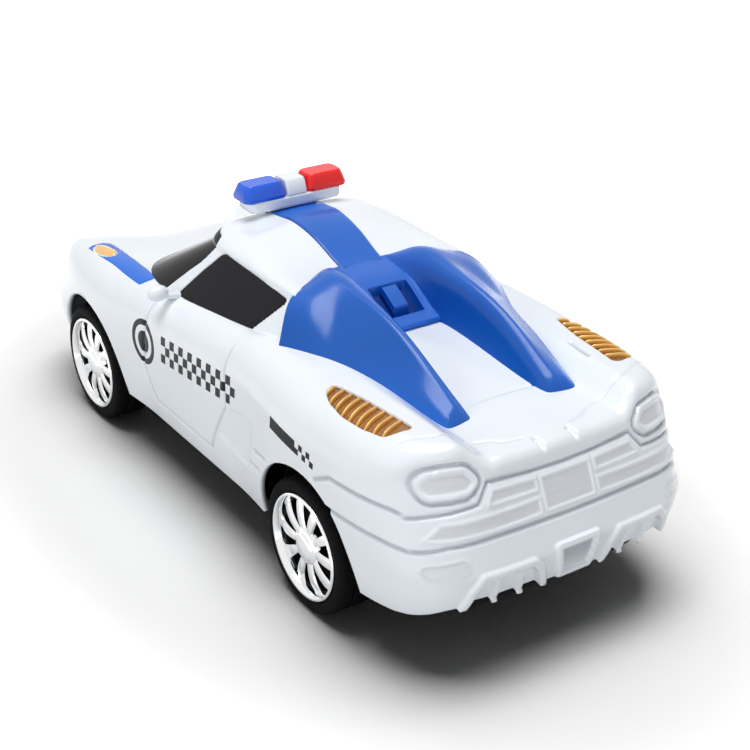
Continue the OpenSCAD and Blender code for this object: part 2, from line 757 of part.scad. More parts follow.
module chassis() color(black) difference() {
    union() {
        difference() {
            translate([0, 0, sill_z])
                linear_extrude(plate_t)
                    polygon(concat(
                        plate_side,
                        [for (i = [len(plate_side) - 2:-1:1]) [plate_side[i].x, -plate_side[i].y]]
                    ));
            both() for (x = [rear_x, front_x])
                translate([x - arch_r - well_t, well_y - well_t / 2, 0]) cube([2 * arch_r + 2 * well_t, half_w, half_w]);
        }
        belly(belly_w, belly_z, 0.02);
        both() for (x = [rear_x, front_x])
            difference() {
                translate([x, well_end, axle_z]) rotate([90, 0, 0]) cylinder(r = arch_r + well_t + 0.2, h = well_end - well_y + well_t, $fn = 64);
                translate([x, well_end + 1, axle_z]) rotate([90, 0, 0]) cylinder(r = arch_r + 0.2, h = well_end - well_y + 1, $fn = 64);
                translate([x - 40, 0, -40]) cube([80, 80, 40 + sill_z]);
            }
    }
    difference() {
        belly(belly_w - 3.2, belly_z + belly_t, 1.6);
        both() for (x = [rear_x, front_x])
            translate([x - 5, block_in, belly_z]) cube([10, belly_w / 2 - block_in, axle_z - belly_z + 4]);
    }
    for (x = [rear_x, front_x])
        translate([x, 0, axle_z]) rotate([90, 0, 0]) cylinder(r = axle_d / 2 + running, h = body_w, center = true);
    both() for (x = [-post_x, post_x])
        translate([x, post_y, sill_z - 1]) cylinder(r = screw_r + 0.2, h = plate_t + 2, $fn = 24);
}

module body_screws() color(bright) both() for (x = [-post_x, post_x]) translate([x, post_y, 0]) difference() {
    union() {
        translate([0, 0, sill_z - 1.6]) cylinder(r = 2.4, h = 1.6, $fn = 24);
        translate([0, 0, sill_z - 0.1]) cylinder(r = screw_r, h = screw_l, $fn = 24);
    }
    for (t = [0, 90])
        translate([0, 0, sill_z - 1.6]) rotate([0, 0, t]) cube([2.6, 0.6, 1.4], center = true);
}

// Wheels

seat_r = rim_d / 2 - 1;
seat_gap = 0.05;
flange_t = 1.5;
hub_r = 5.4;
axle_end = face_y - 2.4;

module axle_rod(x) color(bright) translate([x, axle_end, axle_z]) rotate([90, 0, 0]) cylinder(d = axle_d, h = 2 * axle_end);

module front_axle() axle_rod(front_x);
module rear_axle() axle_rod(rear_x);

// Wheel drawings about their own axle, face at zero and inner side below it
module at_wheel(x, side) translate([x, side * face_y, axle_z]) rotate([-90 * side, 0, 0]) children();

module tyre(x, side) color(black) at_wheel(x, side) rotate_extrude($fn = 72) {
    r = tyre_d / 2;
    polygon([
        [seat_r + seat_gap, -tyre_w], [r - 1.6, -tyre_w], [r - 0.4, -tyre_w + 0.5], [r, -tyre_w + 1.6],
        [r, -tyre_w * 0.7], [r - 0.6, -tyre_w * 0.68], [r - 0.6, -tyre_w * 0.62], [r, -tyre_w * 0.6],
        [r, -tyre_w * 0.4], [r - 0.6, -tyre_w * 0.38], [r - 0.6, -tyre_w * 0.32], [r, -tyre_w * 0.3],
        [r, -2.2], [r - 0.5, -1], [r - 1.6, -0.5], [rim_d / 2 + 0.5, -0.5],
        [rim_d / 2 + seat_gap, -1], [rim_d / 2 + seat_gap, -flange_t - seat_gap], [seat_r + seat_gap, -flange_t - seat_gap]
    ]);
}

module rim(x, side) color(bright) at_wheel(x, side) difference() {
    union() {
        rotate_extrude($fn = 72)
            polygon([
                [seat_r - 1, -tyre_w + 0.6], [seat_r, -tyre_w + 0.6], [seat_r, -flange_t], [rim_d / 2, -flange_t],
                [rim_d / 2, -0.3], [rim_d / 2 - 0.3, 0], [rim_d / 2 - 1.1, 0], [seat_r - 0.6, -1.2], [seat_r - 1, -2.4]
            ]);
        translate([0, 0, -4.4]) linear_extrude(3.2)
            for (i = [0:spokes - 1])
                rotate(360 / spokes * i)
                    polygon([[3, -1.5], [seat_r - 0.5, -1.05], [seat_r - 0.5, 1.05], [3, 1.5]]);
        translate([0, 0, -tyre_w + 1]) cylinder(r = 3.4, h = tyre_w - 2.2);
        translate([0, 0, -5]) cylinder(r1 = hub_r + 0.4, r2 = hub_r, h = 4.2);
        translate([0, 0, -1]) cylinder(r1 = 3.2, r2 = 2.4, h = 1);
    }
    translate([0, 0, -tyre_w]) cylinder(d = axle_d, h = tyre_w - (face_y - axle_end));
    for (i = [0:4])
        rotate(72 * i) translate([4.2, 0, -1.6]) cylinder(r = 0.6, h = 2, $fn = 16);
}

module rim_front_left() rim(front_x, 1);
module rim_front_right() rim(front_x, -1);
module rim_rear_left() rim(rear_x, 1);
module rim_rear_right() rim(rear_x, -1);
module tyre_front_left() tyre(front_x, 1);
module tyre_front_right() tyre(front_x, -1);
module tyre_rear_left() tyre(rear_x, 1);
module tyre_rear_right() tyre(rear_x, -1);

// Friction drive

pressure = 20;
shift = max(0, (17 - pinion_teeth) / 17);
gear_rp = gear_m * gear_teeth / 2;
pinion_rp = gear_m * pinion_teeth / 2;
gear_gap = gear_rp + pinion_rp;
idler_lean = 35;
flywheel_lean = 10;
idler_x = rear_x + gear_gap * cos(idler_lean);
idler_z = axle_z + gear_gap * sin(idler_lean);
flywheel_x = idler_x + gear_gap * cos(flywheel_lean);
flywheel_z = idler_z + gear_gap * sin(flywheel_lean);
pin_r = 1;
gear_tip = gear_rp + gear_m * (1 - shift);
flywheel_r = gear_gap - pin_r - 0.7;
case_t = 1.4;
case_r = max(gear_tip, flywheel_r) + 0.4 + case_t;
case_half = 11.5;

function flare(t) = (tan(t) - t * PI / 180) * 180 / PI;
// Half angle of a tooth at radius r
function tooth_half(r, teeth, sh) =
    let (rp = gear_m * teeth / 2, rb = rp * cos(pressure))
    90 / teeth + 2 * sh * tan(pressure) / teeth * 180 / PI - gear_lash / 4 / rp * 180 / PI
        + flare(pressure) - (r <= rb ? 0 : flare(acos(rb / r)));
module gear_drawing(teeth, sh, start) {
    rp = gear_m * teeth / 2;
    rb = rp * cos(pressure);
    tip = rp + gear_m * (0.85 + sh);
    root = rp - gear_m * (1.25 - sh);
    low = max(rb, root);
    rs = concat([root], [for (j = [0:4]) mix(low, tip, j / 4)]);
    n = len(rs);
    polygon([for (i = [0:teeth - 1], j = [0:2 * n - 1])
        let (
            r = rs[j < n ? j : 2 * n - 1 - j],
            t = start + 360 / teeth * i + (j < n ? -1 : 1) * tooth_half(r, teeth, sh)
        )
        [r * cos(t), r * sin(t)]]);
}

// Drawing in x and z about a shaft, from y a to y b
module on_shaft(x, z, a, b) translate([x, b, z]) rotate([90, 0, 0]) linear_extrude(b - a) children();

module axle_gear() color(amber) difference() {
    union() {
        on_shaft(rear_x, axle_z, -9, -5.6) gear_drawing(gear_teeth, -shift, idler_lean);
        on_shaft(rear_x, axle_z, -9.6, -9) circle(r = 3);
    }
    on_shaft(rear_x, axle_z, -12, 0) circle(d = axle_d);
}

module idler_gear() color(white) difference() {
    union() {
        on_shaft(idler_x, idler_z, -9.4, -4.9) gear_drawing(pinion_teeth, shift, idler_lean + 180 + 180 / pinion_teeth);
        on_shaft(idler_x, idler_z, -5, -2) gear_drawing(gear_teeth, -shift, flywheel_lean);
        on_shaft(idler_x, idler_z, -2, 9.4) circle(r = pin_r + running + 0.45);
    }
    on_shaft(idler_x, idler_z, -12, 12) circle(r = pin_r + running);
}

module idler_pin() color(bright) on_shaft(idler_x, idler_z, -case_half, case_half) circle(r = pin_r);

module flywheel_pinion() color(bright) {
    on_shaft(flywheel_x, flywheel_z, -5.5, -1.5)
        gear_drawing(pinion_teeth, shift, flywheel_lean + 180 + 180 / pinion_teeth);
    on_shaft(flywheel_x, flywheel_z, -case_half, case_half) circle(r = pin_r);
}

module flywheel() color(bright) difference() {
    on_shaft(flywheel_x, flywheel_z, 1, 1 + flywheel_t) circle(r = flywheel_r, $fn = 72);
    on_shaft(flywheel_x, flywheel_z, 0, 12) circle(r = pin_r);
    on_shaft(flywheel_x, flywheel_z, flywheel_t, 12) difference() {
        circle(r = flywheel_r - 1.6);
        circle(r = 3);
    }
}

module case_outline(r) hull() {
    translate([rear_x, axle_z]) circle(r = r);
    translate([idler_x, idler_z]) circle(r = r);
    translate([flywheel_x, flywheel_z]) circle(r = r);
}

module motor_case(side) color(black) difference() {
    intersection() {
        translate([0, side > 0 ? case_half : 0, 0]) rotate([90, 0, 0]) linear_extrude(case_half) case_outline(case_r);
        translate([rear_x - 30, -20, belly_z + belly_t + 0.05]) cube([90, 40, 60]);
    }
    translate([0, case_half - case_t, 0]) rotate([90, 0, 0]) linear_extrude(2 * (case_half - case_t)) case_outline(case_r - case_t);
    on_shaft(rear_x, axle_z, -20, 20) circle(r = axle_d / 2 + 0.35);
    on_shaft(idler_x, idler_z, -20, 20) circle(r = pin_r);
    on_shaft(flywheel_x, flywheel_z, -20, 20) circle(r = pin_r + running);
}

module motor_case_left() motor_case(1);
module motor_case_right() motor_case(-1);

body_shell();
engine_cover();
windscreen();
side_window_left();
side_window_right();
fender_trim_left();
fender_trim_right();
headlamp_left();
headlamp_right();
vent_grille_left();
vent_grille_right();
lightbar_base();
lightbar_lens_blue();
lightbar_lens_red();
chassis();
body_screws();
front_axle();
rim_front_left();
rim_front_right();
tyre_front_left();
tyre_front_right();
rear_axle();
rim_rear_left();
rim_rear_right();
tyre_rear_left();
tyre_rear_right();
axle_gear();
idler_gear();
idler_pin();
flywheel_pinion();
flywheel();
motor_case_left();
motor_case_right();
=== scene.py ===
import math
import bpy
import numpy as np
from mathutils import Matrix, Vector


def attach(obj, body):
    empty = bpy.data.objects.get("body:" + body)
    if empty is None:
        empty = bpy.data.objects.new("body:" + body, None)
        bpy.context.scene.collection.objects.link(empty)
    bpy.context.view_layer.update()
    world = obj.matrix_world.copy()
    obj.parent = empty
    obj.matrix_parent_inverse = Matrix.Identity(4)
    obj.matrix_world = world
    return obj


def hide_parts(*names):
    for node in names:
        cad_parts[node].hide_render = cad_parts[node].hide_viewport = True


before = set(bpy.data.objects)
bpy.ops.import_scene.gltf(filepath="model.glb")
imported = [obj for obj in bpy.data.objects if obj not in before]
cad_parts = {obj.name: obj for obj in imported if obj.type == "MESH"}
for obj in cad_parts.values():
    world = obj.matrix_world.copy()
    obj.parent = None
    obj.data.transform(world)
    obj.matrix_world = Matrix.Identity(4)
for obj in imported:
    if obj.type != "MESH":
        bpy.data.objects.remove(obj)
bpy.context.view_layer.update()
MM = 0.001
MIRROR = np.array([1, -1, 1])
SIDES = (("left", 1), ("right", -1))

# Driving sizes of the car in millimetres, as in the part's source
WHEELBASE, REAR_OVER, FRONT_OVER = 130.0, 52.0, 50.0
HALF_L = (WHEELBASE + REAR_OVER + FRONT_OVER) / 2
HALF_W = 99.0 / 2
X_REAR, X_FRONT = -HALF_L, HALF_L
REAR_X = X_REAR + REAR_OVER
FRONT_X = REAR_X + WHEELBASE
SILL, WING, DECK, BELT, NOSE, ROOF = 17.0, 62.0, 56.5, 57.5, 40.0, 79.0
CABIN_W, ROOF_W = 78.0, 57.4
TYRE_R, TYRE_W, RIM_R = 18.8, 13.6, 14.9
AXLE_Z = TYRE_R
ARCH_R = TYRE_R + 4.4
FACE_Y = HALF_W - 1.0
MID_Z, BUMPER_Z, NOSE_LINE_Z = SILL + 17, SILL + 14, SILL + 12
COWL_X = FRONT_X - 15
WING_Y = HALF_W - 14
CORNER_N, EDGE_K, EDGE_N = 6.4, 0.77, 2.2
ROOF_SIDE, ROOF_EDGE = ROOF - 4, ROOF - 7
CABIN_X = FRONT_X - 66
BAR_X = FRONT_X - 46.5
STRIPE_W, STRIPE_FRONT_W = 14.2, 17.2


# Shared functions

def mix(a, b, t):
    return a + (b - a) * t


def points(*axes):
    return np.stack(axes, -1)


def ease(t):
    s = np.clip(t, 0, 1)
    return s * s * (3 - 2 * s)


def along(x, table):
    """Smooth curve through the stations of a table."""
    t = np.asarray(table, float)
    x = np.asarray(x, float)
    n = len(t)
    i = np.clip(np.searchsorted(t[:, 0], x, side="right") - 1, 0, n - 2)
    a, b = np.maximum(np.arange(n) - 1, 0), np.minimum(np.arange(n) + 1, n - 1)
    lean = (t[b, 1] - t[a, 1]) / (t[b, 0] - t[a, 0])
    h = t[i + 1, 0] - t[i, 0]
    s = np.clip((x - t[i, 0]) / h, 0, 1)
    q, c = s * s, s * s * s
    return ((2 * c - 3 * q + 1) * t[i, 1] + (c - 2 * q + s) * h * lean[i]
            + (3 * q - 2 * c) * t[i + 1, 1] + (c - q) * h * lean[i + 1])


def line_dist(q, pts, closed=False):
    """Distance of points from a line through pts, in as many axes as both have."""
    pts = np.asarray(pts, float)
    ends = np.roll(pts, -1, 0) if closed else pts[1:]
    best = np.full(q.shape[:-1], 1e9)
    for a, b in zip(pts, ends):
        ab = b - a
        t = np.clip(((q - a) @ ab) / max(ab @ ab, 1e-9), 0, 1)
        best = np.minimum(best, np.linalg.norm(q - a - t[..., None] * ab, axis=-1))
    return best


def inside_dist(q, pts):
    """Distance from the edge of an outline, positive inside it."""
    pts = np.asarray(pts, float)
    inside = np.zeros(q.shape[:-1], bool)
    x, y = q[..., 0], q[..., 1]
    for a, b in zip(pts, np.roll(pts, -1, 0)):
        cross = (a[1] > y) != (b[1] > y)
        at = a[0] + (y - a[1]) * (b[0] - a[0]) / (b[1] - a[1] if b[1] != a[1] else 1e-9)
        inside ^= cross & (x < at)
    d = line_dist(q, pts, True)
    return np.where(inside, d, -d)


def round_outline(pts, r, n=6):
    """Outline with its corners rounded."""
    pts = np.asarray(pts, float)
    out = []
    for i in range(len(pts)):
        a, b, c = pts[i - 1], pts[i], pts[(i + 1) % len(pts)]
        u, v = (a - b), (c - b)
        lu, lv = np.linalg.norm(u), np.linalg.norm(v)
        d = min(r, 0.45 * lu, 0.45 * lv)
        p, q = b + u / lu * d, b + v / lv * d
        for t in np.linspace(0, 1, n):
            out.append(mix(mix(p, b, t), mix(b, q, t), t))
    return np.array(out)


def groove(d, half_w, depth):
    return -depth * ease(1 - d / half_w)


def ridge(d, half_w, height):
    return height * ease((1 - d / half_w) * 1.6)


# Lower body

CENTRE_LINE = [
    (X_REAR, DECK - 1), (X_REAR + 14, DECK), (REAR_X - 18, DECK + 0.7), (REAR_X + 17, DECK + 5),
    (REAR_X + 50, BELT + 2), (COWL_X, BELT - 1), (FRONT_X + 8, BELT - 4), (X_FRONT - 16, NOSE + 6),
    (X_FRONT, NOSE - 2),
]
WING_LINE = [
    (X_REAR, WING - 2.5), (X_REAR + 14, WING - 0.6), (REAR_X, WING + 0.3), (REAR_X + 34, WING + 1),
    (REAR_X + 46, BELT + 3.4), (FRONT_X - 45, BELT), (FRONT_X - 25, BELT - 1.3), (FRONT_X, BELT - 2.5),
    (X_FRONT - 22, BELT - 7), (X_FRONT - 8, NOSE + 4), (X_FRONT, NOSE - 2),
]
# How far the ends and sides lean in below and above, and their other bends
REAR_UNDER, REAR_LEAN, FRONT_UNDER, FRONT_LEAN = 4.5, 13.0, 5.0, 12.0
SIDE_UNDER, SIDE_LEAN, WAIST, NOSE_IN, END_BOW = 2.2, 2.0, 2.2, 3.0, 2.0


def rear_rake(z):
    low = REAR_UNDER * np.clip((BUMPER_Z - z) / (BUMPER_Z - SILL), 0, 9) ** 2
    high = REAR_LEAN * np.clip((z - BUMPER_Z) / (WING - BUMPER_Z), 0, 9) ** 1.2
    return np.where(z < BUMPER_Z, low, high)


def front_rake(z):
    low = FRONT_UNDER * np.clip((NOSE_LINE_Z - z) / (NOSE_LINE_Z - SILL), 0, 9) ** 2
    high = FRONT_LEAN * np.clip((z - NOSE_LINE_Z) / (NOSE - NOSE_LINE_Z + 8), 0, 9) ** 1.5
    return np.where(z < NOSE_LINE_Z, low, high)


def side_in(x, z):
    low = SIDE_UNDER * ((MID_Z - z) / (MID_Z - SILL)) ** 2
    high = SIDE_LEAN * ((z - MID_Z) / (WING - MID_Z)) ** 2
    waist = WAIST * ease((x - REAR_X - 6) / 34) * ease((FRONT_X - 6 - x) / 34)
    return waist + np.where(z < MID_Z, low, high) + NOSE_IN * ease((x - FRONT_X) / FRONT_OVER)


def wall_point(a, b, z):
    """Point of the wall at height z, for shares a of the length and b of the width."""
    bow = END_BOW * b * b
    x = np.where(a < 0, -a * (X_REAR + rear_rake(z) + bow), a * (X_FRONT - front_rake(z) - bow))
    return points(x, b * (HALF_W - side_in(x, z)), z + 0 * x)


def top_z(x, y):
    f = ease((x - REAR_X) / WHEELBASE)
    s = ease((np.abs(y) - mix(20, 10, f)) / mix(9, 22, f))
    d = np.maximum(0, np.abs(y) - WING_Y)
    return mix(along(x, CENTRE_LINE), along(x, WING_LINE), s) - 0.02 * d * d


def edge_drop(k):
    t = np.clip((k - EDGE_K) / (1 - EDGE_K), 0, 1)
    return 1 - (1 - t ** EDGE_N) ** (1 / EDGE_N)


def half_outline(tail_n, nose_n, to_xy, spacing):
    """Shares of length and width along the left half, spaced as asked along the real outline."""
    def end(b, n):
        return (1 - b ** n) ** (1 / n)
    b0 = 0.9
    b = np.linspace(0, b0, 3000)
    side = np.linspace(-end(b0, tail_n), end(b0, nose_n), 9000)
    n = np.where(side < 0, tail_n, nose_n)
    a = np.concatenate([-end(b, tail_n), side[1:-1], end(b[::-1], nose_n)])
    b = np.concatenate([b, end(np.abs(side), n)[1:-1], b[::-1]])
    xy = to_xy(a, b)
    ds = np.linalg.norm(np.diff(xy, axis=0), axis=1)
    count = np.concatenate([[0], np.cumsum(ds / spacing(0.5 * (xy[1:] + xy[:-1])))])
    at = np.linspace(0, count[-1], int(count[-1]) + 1)
    return np.interp(at, count, a), np.maximum(np.interp(at, count, b), 0)


def edge_levels(first, second):
    """Shares of the way out: first round the edge, then in to the middle."""
    phi = np.linspace(math.pi / 2, 0, first + 1)[1:]
    k = EDGE_K + (1 - EDGE_K) * np.sin(phi) ** (2 / EDGE_N)
    return np.concatenate([k, np.linspace(EDGE_K, 0, second + 1)[1:]])


def whole(left):
    """Both halves of a body from the ribs of its left half."""
    return np.concatenate([left, left[-2:0:-1] * MIRROR])


def grid_normals(p):
    n = np.cross(np.gradient(p, axis=1), np.roll(p, -1, 0) - np.roll(p, 1, 0))
    return n / np.maximum(np.linalg.norm(n, axis=-1, keepdims=True), 1e-9)


# Places along the car, and how far apart the ribs of the lower body's mesh lie there
RIB_STEPS = [
    (-108, 0.33), (-96, 0.45), (-70, 0.7), (-48, 0.7), (-42, 0.36), (-16, 0.36), (-10, 0.7), (60, 0.8),
    (116, 1.0),
]
OUTLINE_Z, TOP_IN = 46.0, 22.0


def tub_grid():
    """Lower body as ribs up its wall and in over its top, and the line of its upper edge."""
    a, b = half_outline(
        CORNER_N, CORNER_N, lambda a, b: wall_point(a, b, np.full_like(a, OUTLINE_Z))[:, :2],
        lambda q: np.interp(q[:, 0], *np.transpose(RIB_STEPS)))
    o = wall_point(a, b, np.full_like(a, MID_Z + 14))
    h = mix(4, 10, ease((a + 0.985) / 0.12))
    zs = top_z(o[:, 0], o[:, 1]) - h
    e = wall_point(a, b, zs)
    t = np.linspace(0, 1, 110)
    walls = wall_point(a[:, None], b[:, None], SILL + (zs[:, None] - SILL) * t)
    k = edge_levels(14, 56)
    xs = np.clip(e[:, 0], X_REAR + TOP_IN, X_FRONT - TOP_IN)
    x = mix(xs[:, None], e[:, :1], k)
    y = e[:, 1:2] * k
    mend = zs - (top_z(e[:, 0], e[:, 1]) - h)
    z = top_z(x, y) - h[:, None] * edge_drop(k) + mend[:, None] * k ** 8
    side = np.abs(e[:, 0]) < X_FRONT - TOP_IN
    ribs = np.concatenate([walls, points(x, y, z)], 1)
    return whole(ribs), (e[side, 0], e[side, 1], h[side])


tub, TUB_EDGE = tub_grid()


def tub_top(x, y):
    """Height of the upper side of the lower body between its ends."""
    ex, ey, h = TUB_EDGE
    return top_z(x, y) - np.interp(x, ex, h) * edge_drop(np.abs(y) / np.interp(x, ex, ey))


# Cabin

ROOF_LINE = [
    (REAR_X + 22, ROOF - 13), (REAR_X + 45.8, ROOF - 6.7), (REAR_X + 58, ROOF - 2), (REAR_X + 68, ROOF),
    (FRONT_X - 54, ROOF - 0.5), (FRONT_X - 46, ROOF - 1.4), (FRONT_X - 36, ROOF - 3.6),
]
CABIN_TAIL, ROOF_TAIL, ROOF_NOSE = REAR_X + 20, REAR_X + 24, FRONT_X - 41


def cabin_edge(a, b, tail, nose, w):
    x = np.where(a < 0, CABIN_X + a * (CABIN_X - tail), CABIN_X + a * (nose - CABIN_X))
    return points(x, b * w / 2)


def cabin_grid():
    a, b = half_outline(
        12, 5, lambda a, b: cabin_edge(a, b, CABIN_TAIL, COWL_X, CABIN_W), lambda q: 0.8 + 0 * q[:, 0])
    p = cabin_edge(a, b, CABIN_TAIL, COWL_X, CABIN_W)
    q = cabin_edge(a, b, ROOF_TAIL, ROOF_NOSE, ROOF_W)
    s = np.linspace(-0.3, 1, 44)
    xy = mix(p[:, None], q[:, None], s[None, :, None])
    rise = np.broadcast_to(mix(BELT, ROOF_EDGE, s)[None, :, None], xy.shape[:2] + (1,))
    walls = np.concatenate([xy, rise], 2)
    k = edge_levels(10, 34)
    mid = np.clip(q[:, 0], ROOF_TAIL + 8, ROOF_NOSE - 8)
    x = mix(mid[:, None], q[:, :1], k)
    z = mix(along(x, ROOF_LINE), ROOF_SIDE, k * k) - (ROOF_SIDE - ROOF_EDGE) * edge_drop(k)
    return whole(np.concatenate([walls, np.stack([x, q[:, 1:2] * k, z], -1)], 1))


def roof_at(x, y):
    return mix(along(x, ROOF_LINE), ROOF_SIDE, np.minimum(1, 2 * np.abs(y) / ROOF_W) ** 2)


# Meshes

def linked(name, data):
    ob = bpy.data.objects.new(name, data)
    bpy.context.scene.collection.objects.link(ob)
    return ob


def add_mesh(name, verts, faces, material, node, slot, body="car", smooth=32, masks=None, wall=None):
    """New piece that rides on a body and stands for a node, with shares per point for its material."""
    me = bpy.data.meshes.new(name)
    me.from_pydata([tuple(v) for v in np.asarray(verts) * MM], [], [tuple(int(i) for i in f) for f in faces])
    for key, values in (masks or {}).items():
        me.attributes.new(key, "FLOAT", "POINT").data.foreach_set("value", np.asarray(values, np.float32))
    me.validate()
    me.update()
    ob = linked(name, me)
    me.shade_smooth()
    me.set_sharp_from_angle(angle=math.radians(smooth))
    me.materials.append(material)
    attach(ob, body)
    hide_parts(node)
    if wall:
        m = ob.modifiers.new("wall", "SOLIDIFY")
        m.thickness = wall * MM
        m.offset = -1
    return ob


def weld(verts, faces, masks, tol=1e-3):
    """Merges points that lie on each other and drops faces that vanish."""
    key = np.round(verts / tol).astype(np.int64)
    _, first, back = np.unique(key, axis=0, return_index=True, return_inverse=True)
    back = back.ravel()
    out = [list(dict.fromkeys(back[list(f)])) for f in faces]
    out = [g for g in out if len(g) > 2]
    return verts[first], out, {k: v[first] for k, v in masks.items()}


def grid_faces(n, m, wrap):
    i, j = np.meshgrid(np.arange(n if wrap else n - 1), np.arange(m - 1), indexing="ij")
    k = (i + 1) % n
    return points(i * m + j, i * m + j + 1, k * m + j + 1, k * m + j).reshape(-1, 4)


def clip_grid(p, keep, wrap=True, masks=None):
    """The part of a grid where keep is positive, cut off on the line where it is zero."""
    n, m = keep.shape
    inside = keep > 0
    edge = np.zeros_like(inside)
    best = np.full(keep.shape, -1.0)
    moved = p.copy()
    for axis, step in ((0, 1), (0, -1), (1, 1), (1, -1)):
        k2, p2, in2 = np.roll(keep, step, axis), np.roll(p, step, axis), np.roll(inside, step, axis).copy()
        if axis == 1 or not wrap:
            cut = [slice(None)] * 2
            cut[axis] = 0 if step == 1 else -1
            in2[tuple(cut)] = False
        t = np.where(in2 & ~inside, k2 / np.maximum(k2 - keep, 1e-9), -1)
        better = t > best
        best = np.where(better, t, best)
        moved = np.where(better[..., None], p2 + t[..., None] * (p - p2), moved)
        edge |= better
    p = np.where(edge[..., None], moved, p)
    ok, strict = (inside | edge).ravel(), inside.ravel()
    faces = []
    for f in grid_faces(n, m, wrap):
        g = [i for i in f if ok[i]]
        if len(g) > 2 and any(strict[i] for i in g):
            faces.append(g)
    used = np.unique(np.concatenate([np.asarray(f) for f in faces]))
    index = np.full(n * m, -1)
    index[used] = np.arange(len(used))
    faces = [[index[i] for i in f] for f in faces]
    return weld(p.reshape(-1, 3)[used], faces, {k: v.ravel()[used] for k, v in (masks or {}).items()})


def ring_angles(n):
    return np.linspace(0, 2 * math.pi, n, endpoint=False)


def ring_faces(n, m, steps):
    """Faces between n rings of m points, for so many steps from ring to ring."""
    return [[i * m + j, i * m + (j + 1) % m, (i + 1) % n * m + (j + 1) % m, (i + 1) % n * m + j]
            for i in range(steps) for j in range(m)]


def loft(rows):
    """Closed surface through rings of points."""
    rows = np.asarray(rows, float)
    n, m = rows.shape[:2]
    ends = [list(range(m))[::-1], [(n - 1) * m + j for j in range(m)]]
    return rows.reshape(-1, 3), ring_faces(n, m, n - 1) + ends


def turned(profile, n):
    """Ring turned about the y axis from radius and y pairs of a closed profile."""
    t = ring_angles(n)[:, None]
    r, y = np.transpose(profile)
    rows = np.stack(np.broadcast_arrays(r * np.cos(t), y, r * np.sin(t)), -1)
    return rows.reshape(-1, 3), ring_faces(n, len(profile), n)


def joined(parts):
    verts, faces, base = [], [], 0
    for v, f in parts:
        verts.append(v)
        faces += [[i + base for i in g] for g in f]
        base += len(v)
    return np.concatenate(verts), faces


def sided(mesh, side):
    """A mesh of the left side as it is, or its mirror image for the right side."""
    v, f = mesh
    return mesh if side > 0 else (v * MIRROR, [g[::-1] for g in f])


def solid(v, f):
    """Faces turned outward."""
    volume = 0.0
    for g in f:
        volume += sum(np.dot(v[g[0]], np.cross(v[g[i]], v[g[i + 1]])) for i in range(1, len(g) - 1))
    return v, (f if volume > 0 else [list(g)[::-1] for g in f])


def box_outline(rear, front, half):
    return [(rear, -half), (front, -half), (front, half), (rear, half)]


def rounded_rect(cx, cy, l, w, r, z, n=8):
    out = []
    for sx, sy, a0 in ((1, 1, 0), (-1, 1, 90), (-1, -1, 180), (1, -1, 270)):
        for a in np.radians(np.linspace(a0, a0 + 90, n)):
            out.append((cx + sx * (l / 2 - r) + r * math.cos(a), cy + sy * (w / 2 - r) + r * math.sin(a), z))
    return out


# Materials

def set_values(n, **values):
    """Inputs of a node, by their names with underscores for spaces, or its own settings."""
    for key, value in values.items():
        name = key.replace("_", " ")
        if name in n.inputs:
            n.inputs[name].default_value = value
        else:
            setattr(n, key, value)
    return n


def node_of(tree, kind, **values):
    return set_values(tree.nodes.new(kind), **values)


def plastic(name, colour, rough=0.2, coat=0.4, metallic=0.0, grain=900.0, bump=0.02, vary=0.04, spec=0.5):
    """Moulded surface: slight mottling of colour and gloss, and fine texture."""
    m = bpy.data.materials.new(name)
    m.use_nodes = True
    t = m.node_tree
    link = t.links.new
    shader = t.nodes["Principled BSDF"]
    where = node_of(t, "ShaderNodeTexCoord")
    big = node_of(t, "ShaderNodeTexNoise", Scale=60.0, Detail=3.0)
    fine = node_of(t, "ShaderNodeTexNoise", Scale=grain, Detail=4.0)
    link(where.outputs["Object"], big.inputs["Vector"])
    link(where.outputs["Object"], fine.inputs["Vector"])
    ramp = node_of(t, "ShaderNodeValToRGB")
    ramp.color_ramp.elements[0].position = 0.3
    ramp.color_ramp.elements[1].position = 0.7
    ramp.color_ramp.elements[0].color = [c * (1 - vary) for c in colour] + [1]
    ramp.color_ramp.elements[1].color = [min(1, c * (1 + vary * 0.4)) for c in colour] + [1]
    link(big.outputs["Fac"], ramp.inputs["Fac"])
    link(ramp.outputs["Color"], shader.inputs["Base Color"])
    spread = node_of(t, "ShaderNodeMapRange", To_Min=rough * 0.8, To_Max=rough * 1.25)
    link(fine.outputs["Fac"], spread.inputs["Value"])
    link(spread.outputs["Result"], shader.inputs["Roughness"])
    relief = node_of(t, "ShaderNodeBump", Strength=bump, Distance=0.0004)
    link(fine.outputs["Fac"], relief.inputs["Height"])
    link(relief.outputs["Normal"], shader.inputs["Normal"])
    set_values(shader, Metallic=metallic, Coat_Weight=coat, Coat_Roughness=0.06, Specular_IOR_Level=spec)
    return m


def maths(t, op, *values):
    n = node_of(t, "ShaderNodeMath", operation=op)
    for i, v in enumerate(values):
        if isinstance(v, (int, float)):
            n.inputs[i].default_value = v
        else:
            t.links.new(v, n.inputs[i])
    return n.outputs[0]


def times(t, *values):
    """Product of sockets and numbers."""
    out = values[0]
    for v in values[1:]:
        out = maths(t, "MULTIPLY", out, v)
    return out


def between(t, v, low, high):
    return times(t, maths(t, "GREATER_THAN", v, low), maths(t, "LESS_THAN", v, high))


def over_colour(m, mask, colour):
    """Lays a second colour over a material where mask is one."""
    t = m.node_tree
    base = t.nodes["Principled BSDF"].inputs["Base Color"]
    mixer = node_of(t, "ShaderNodeMix", data_type="RGBA")
    t.links.new(mask, mixer.inputs[0])
    t.links.new(base.links[0].from_socket, mixer.inputs[6])
    mixer.inputs[7].default_value = (*colour, 1)
    t.links.new(mixer.outputs[2], base)


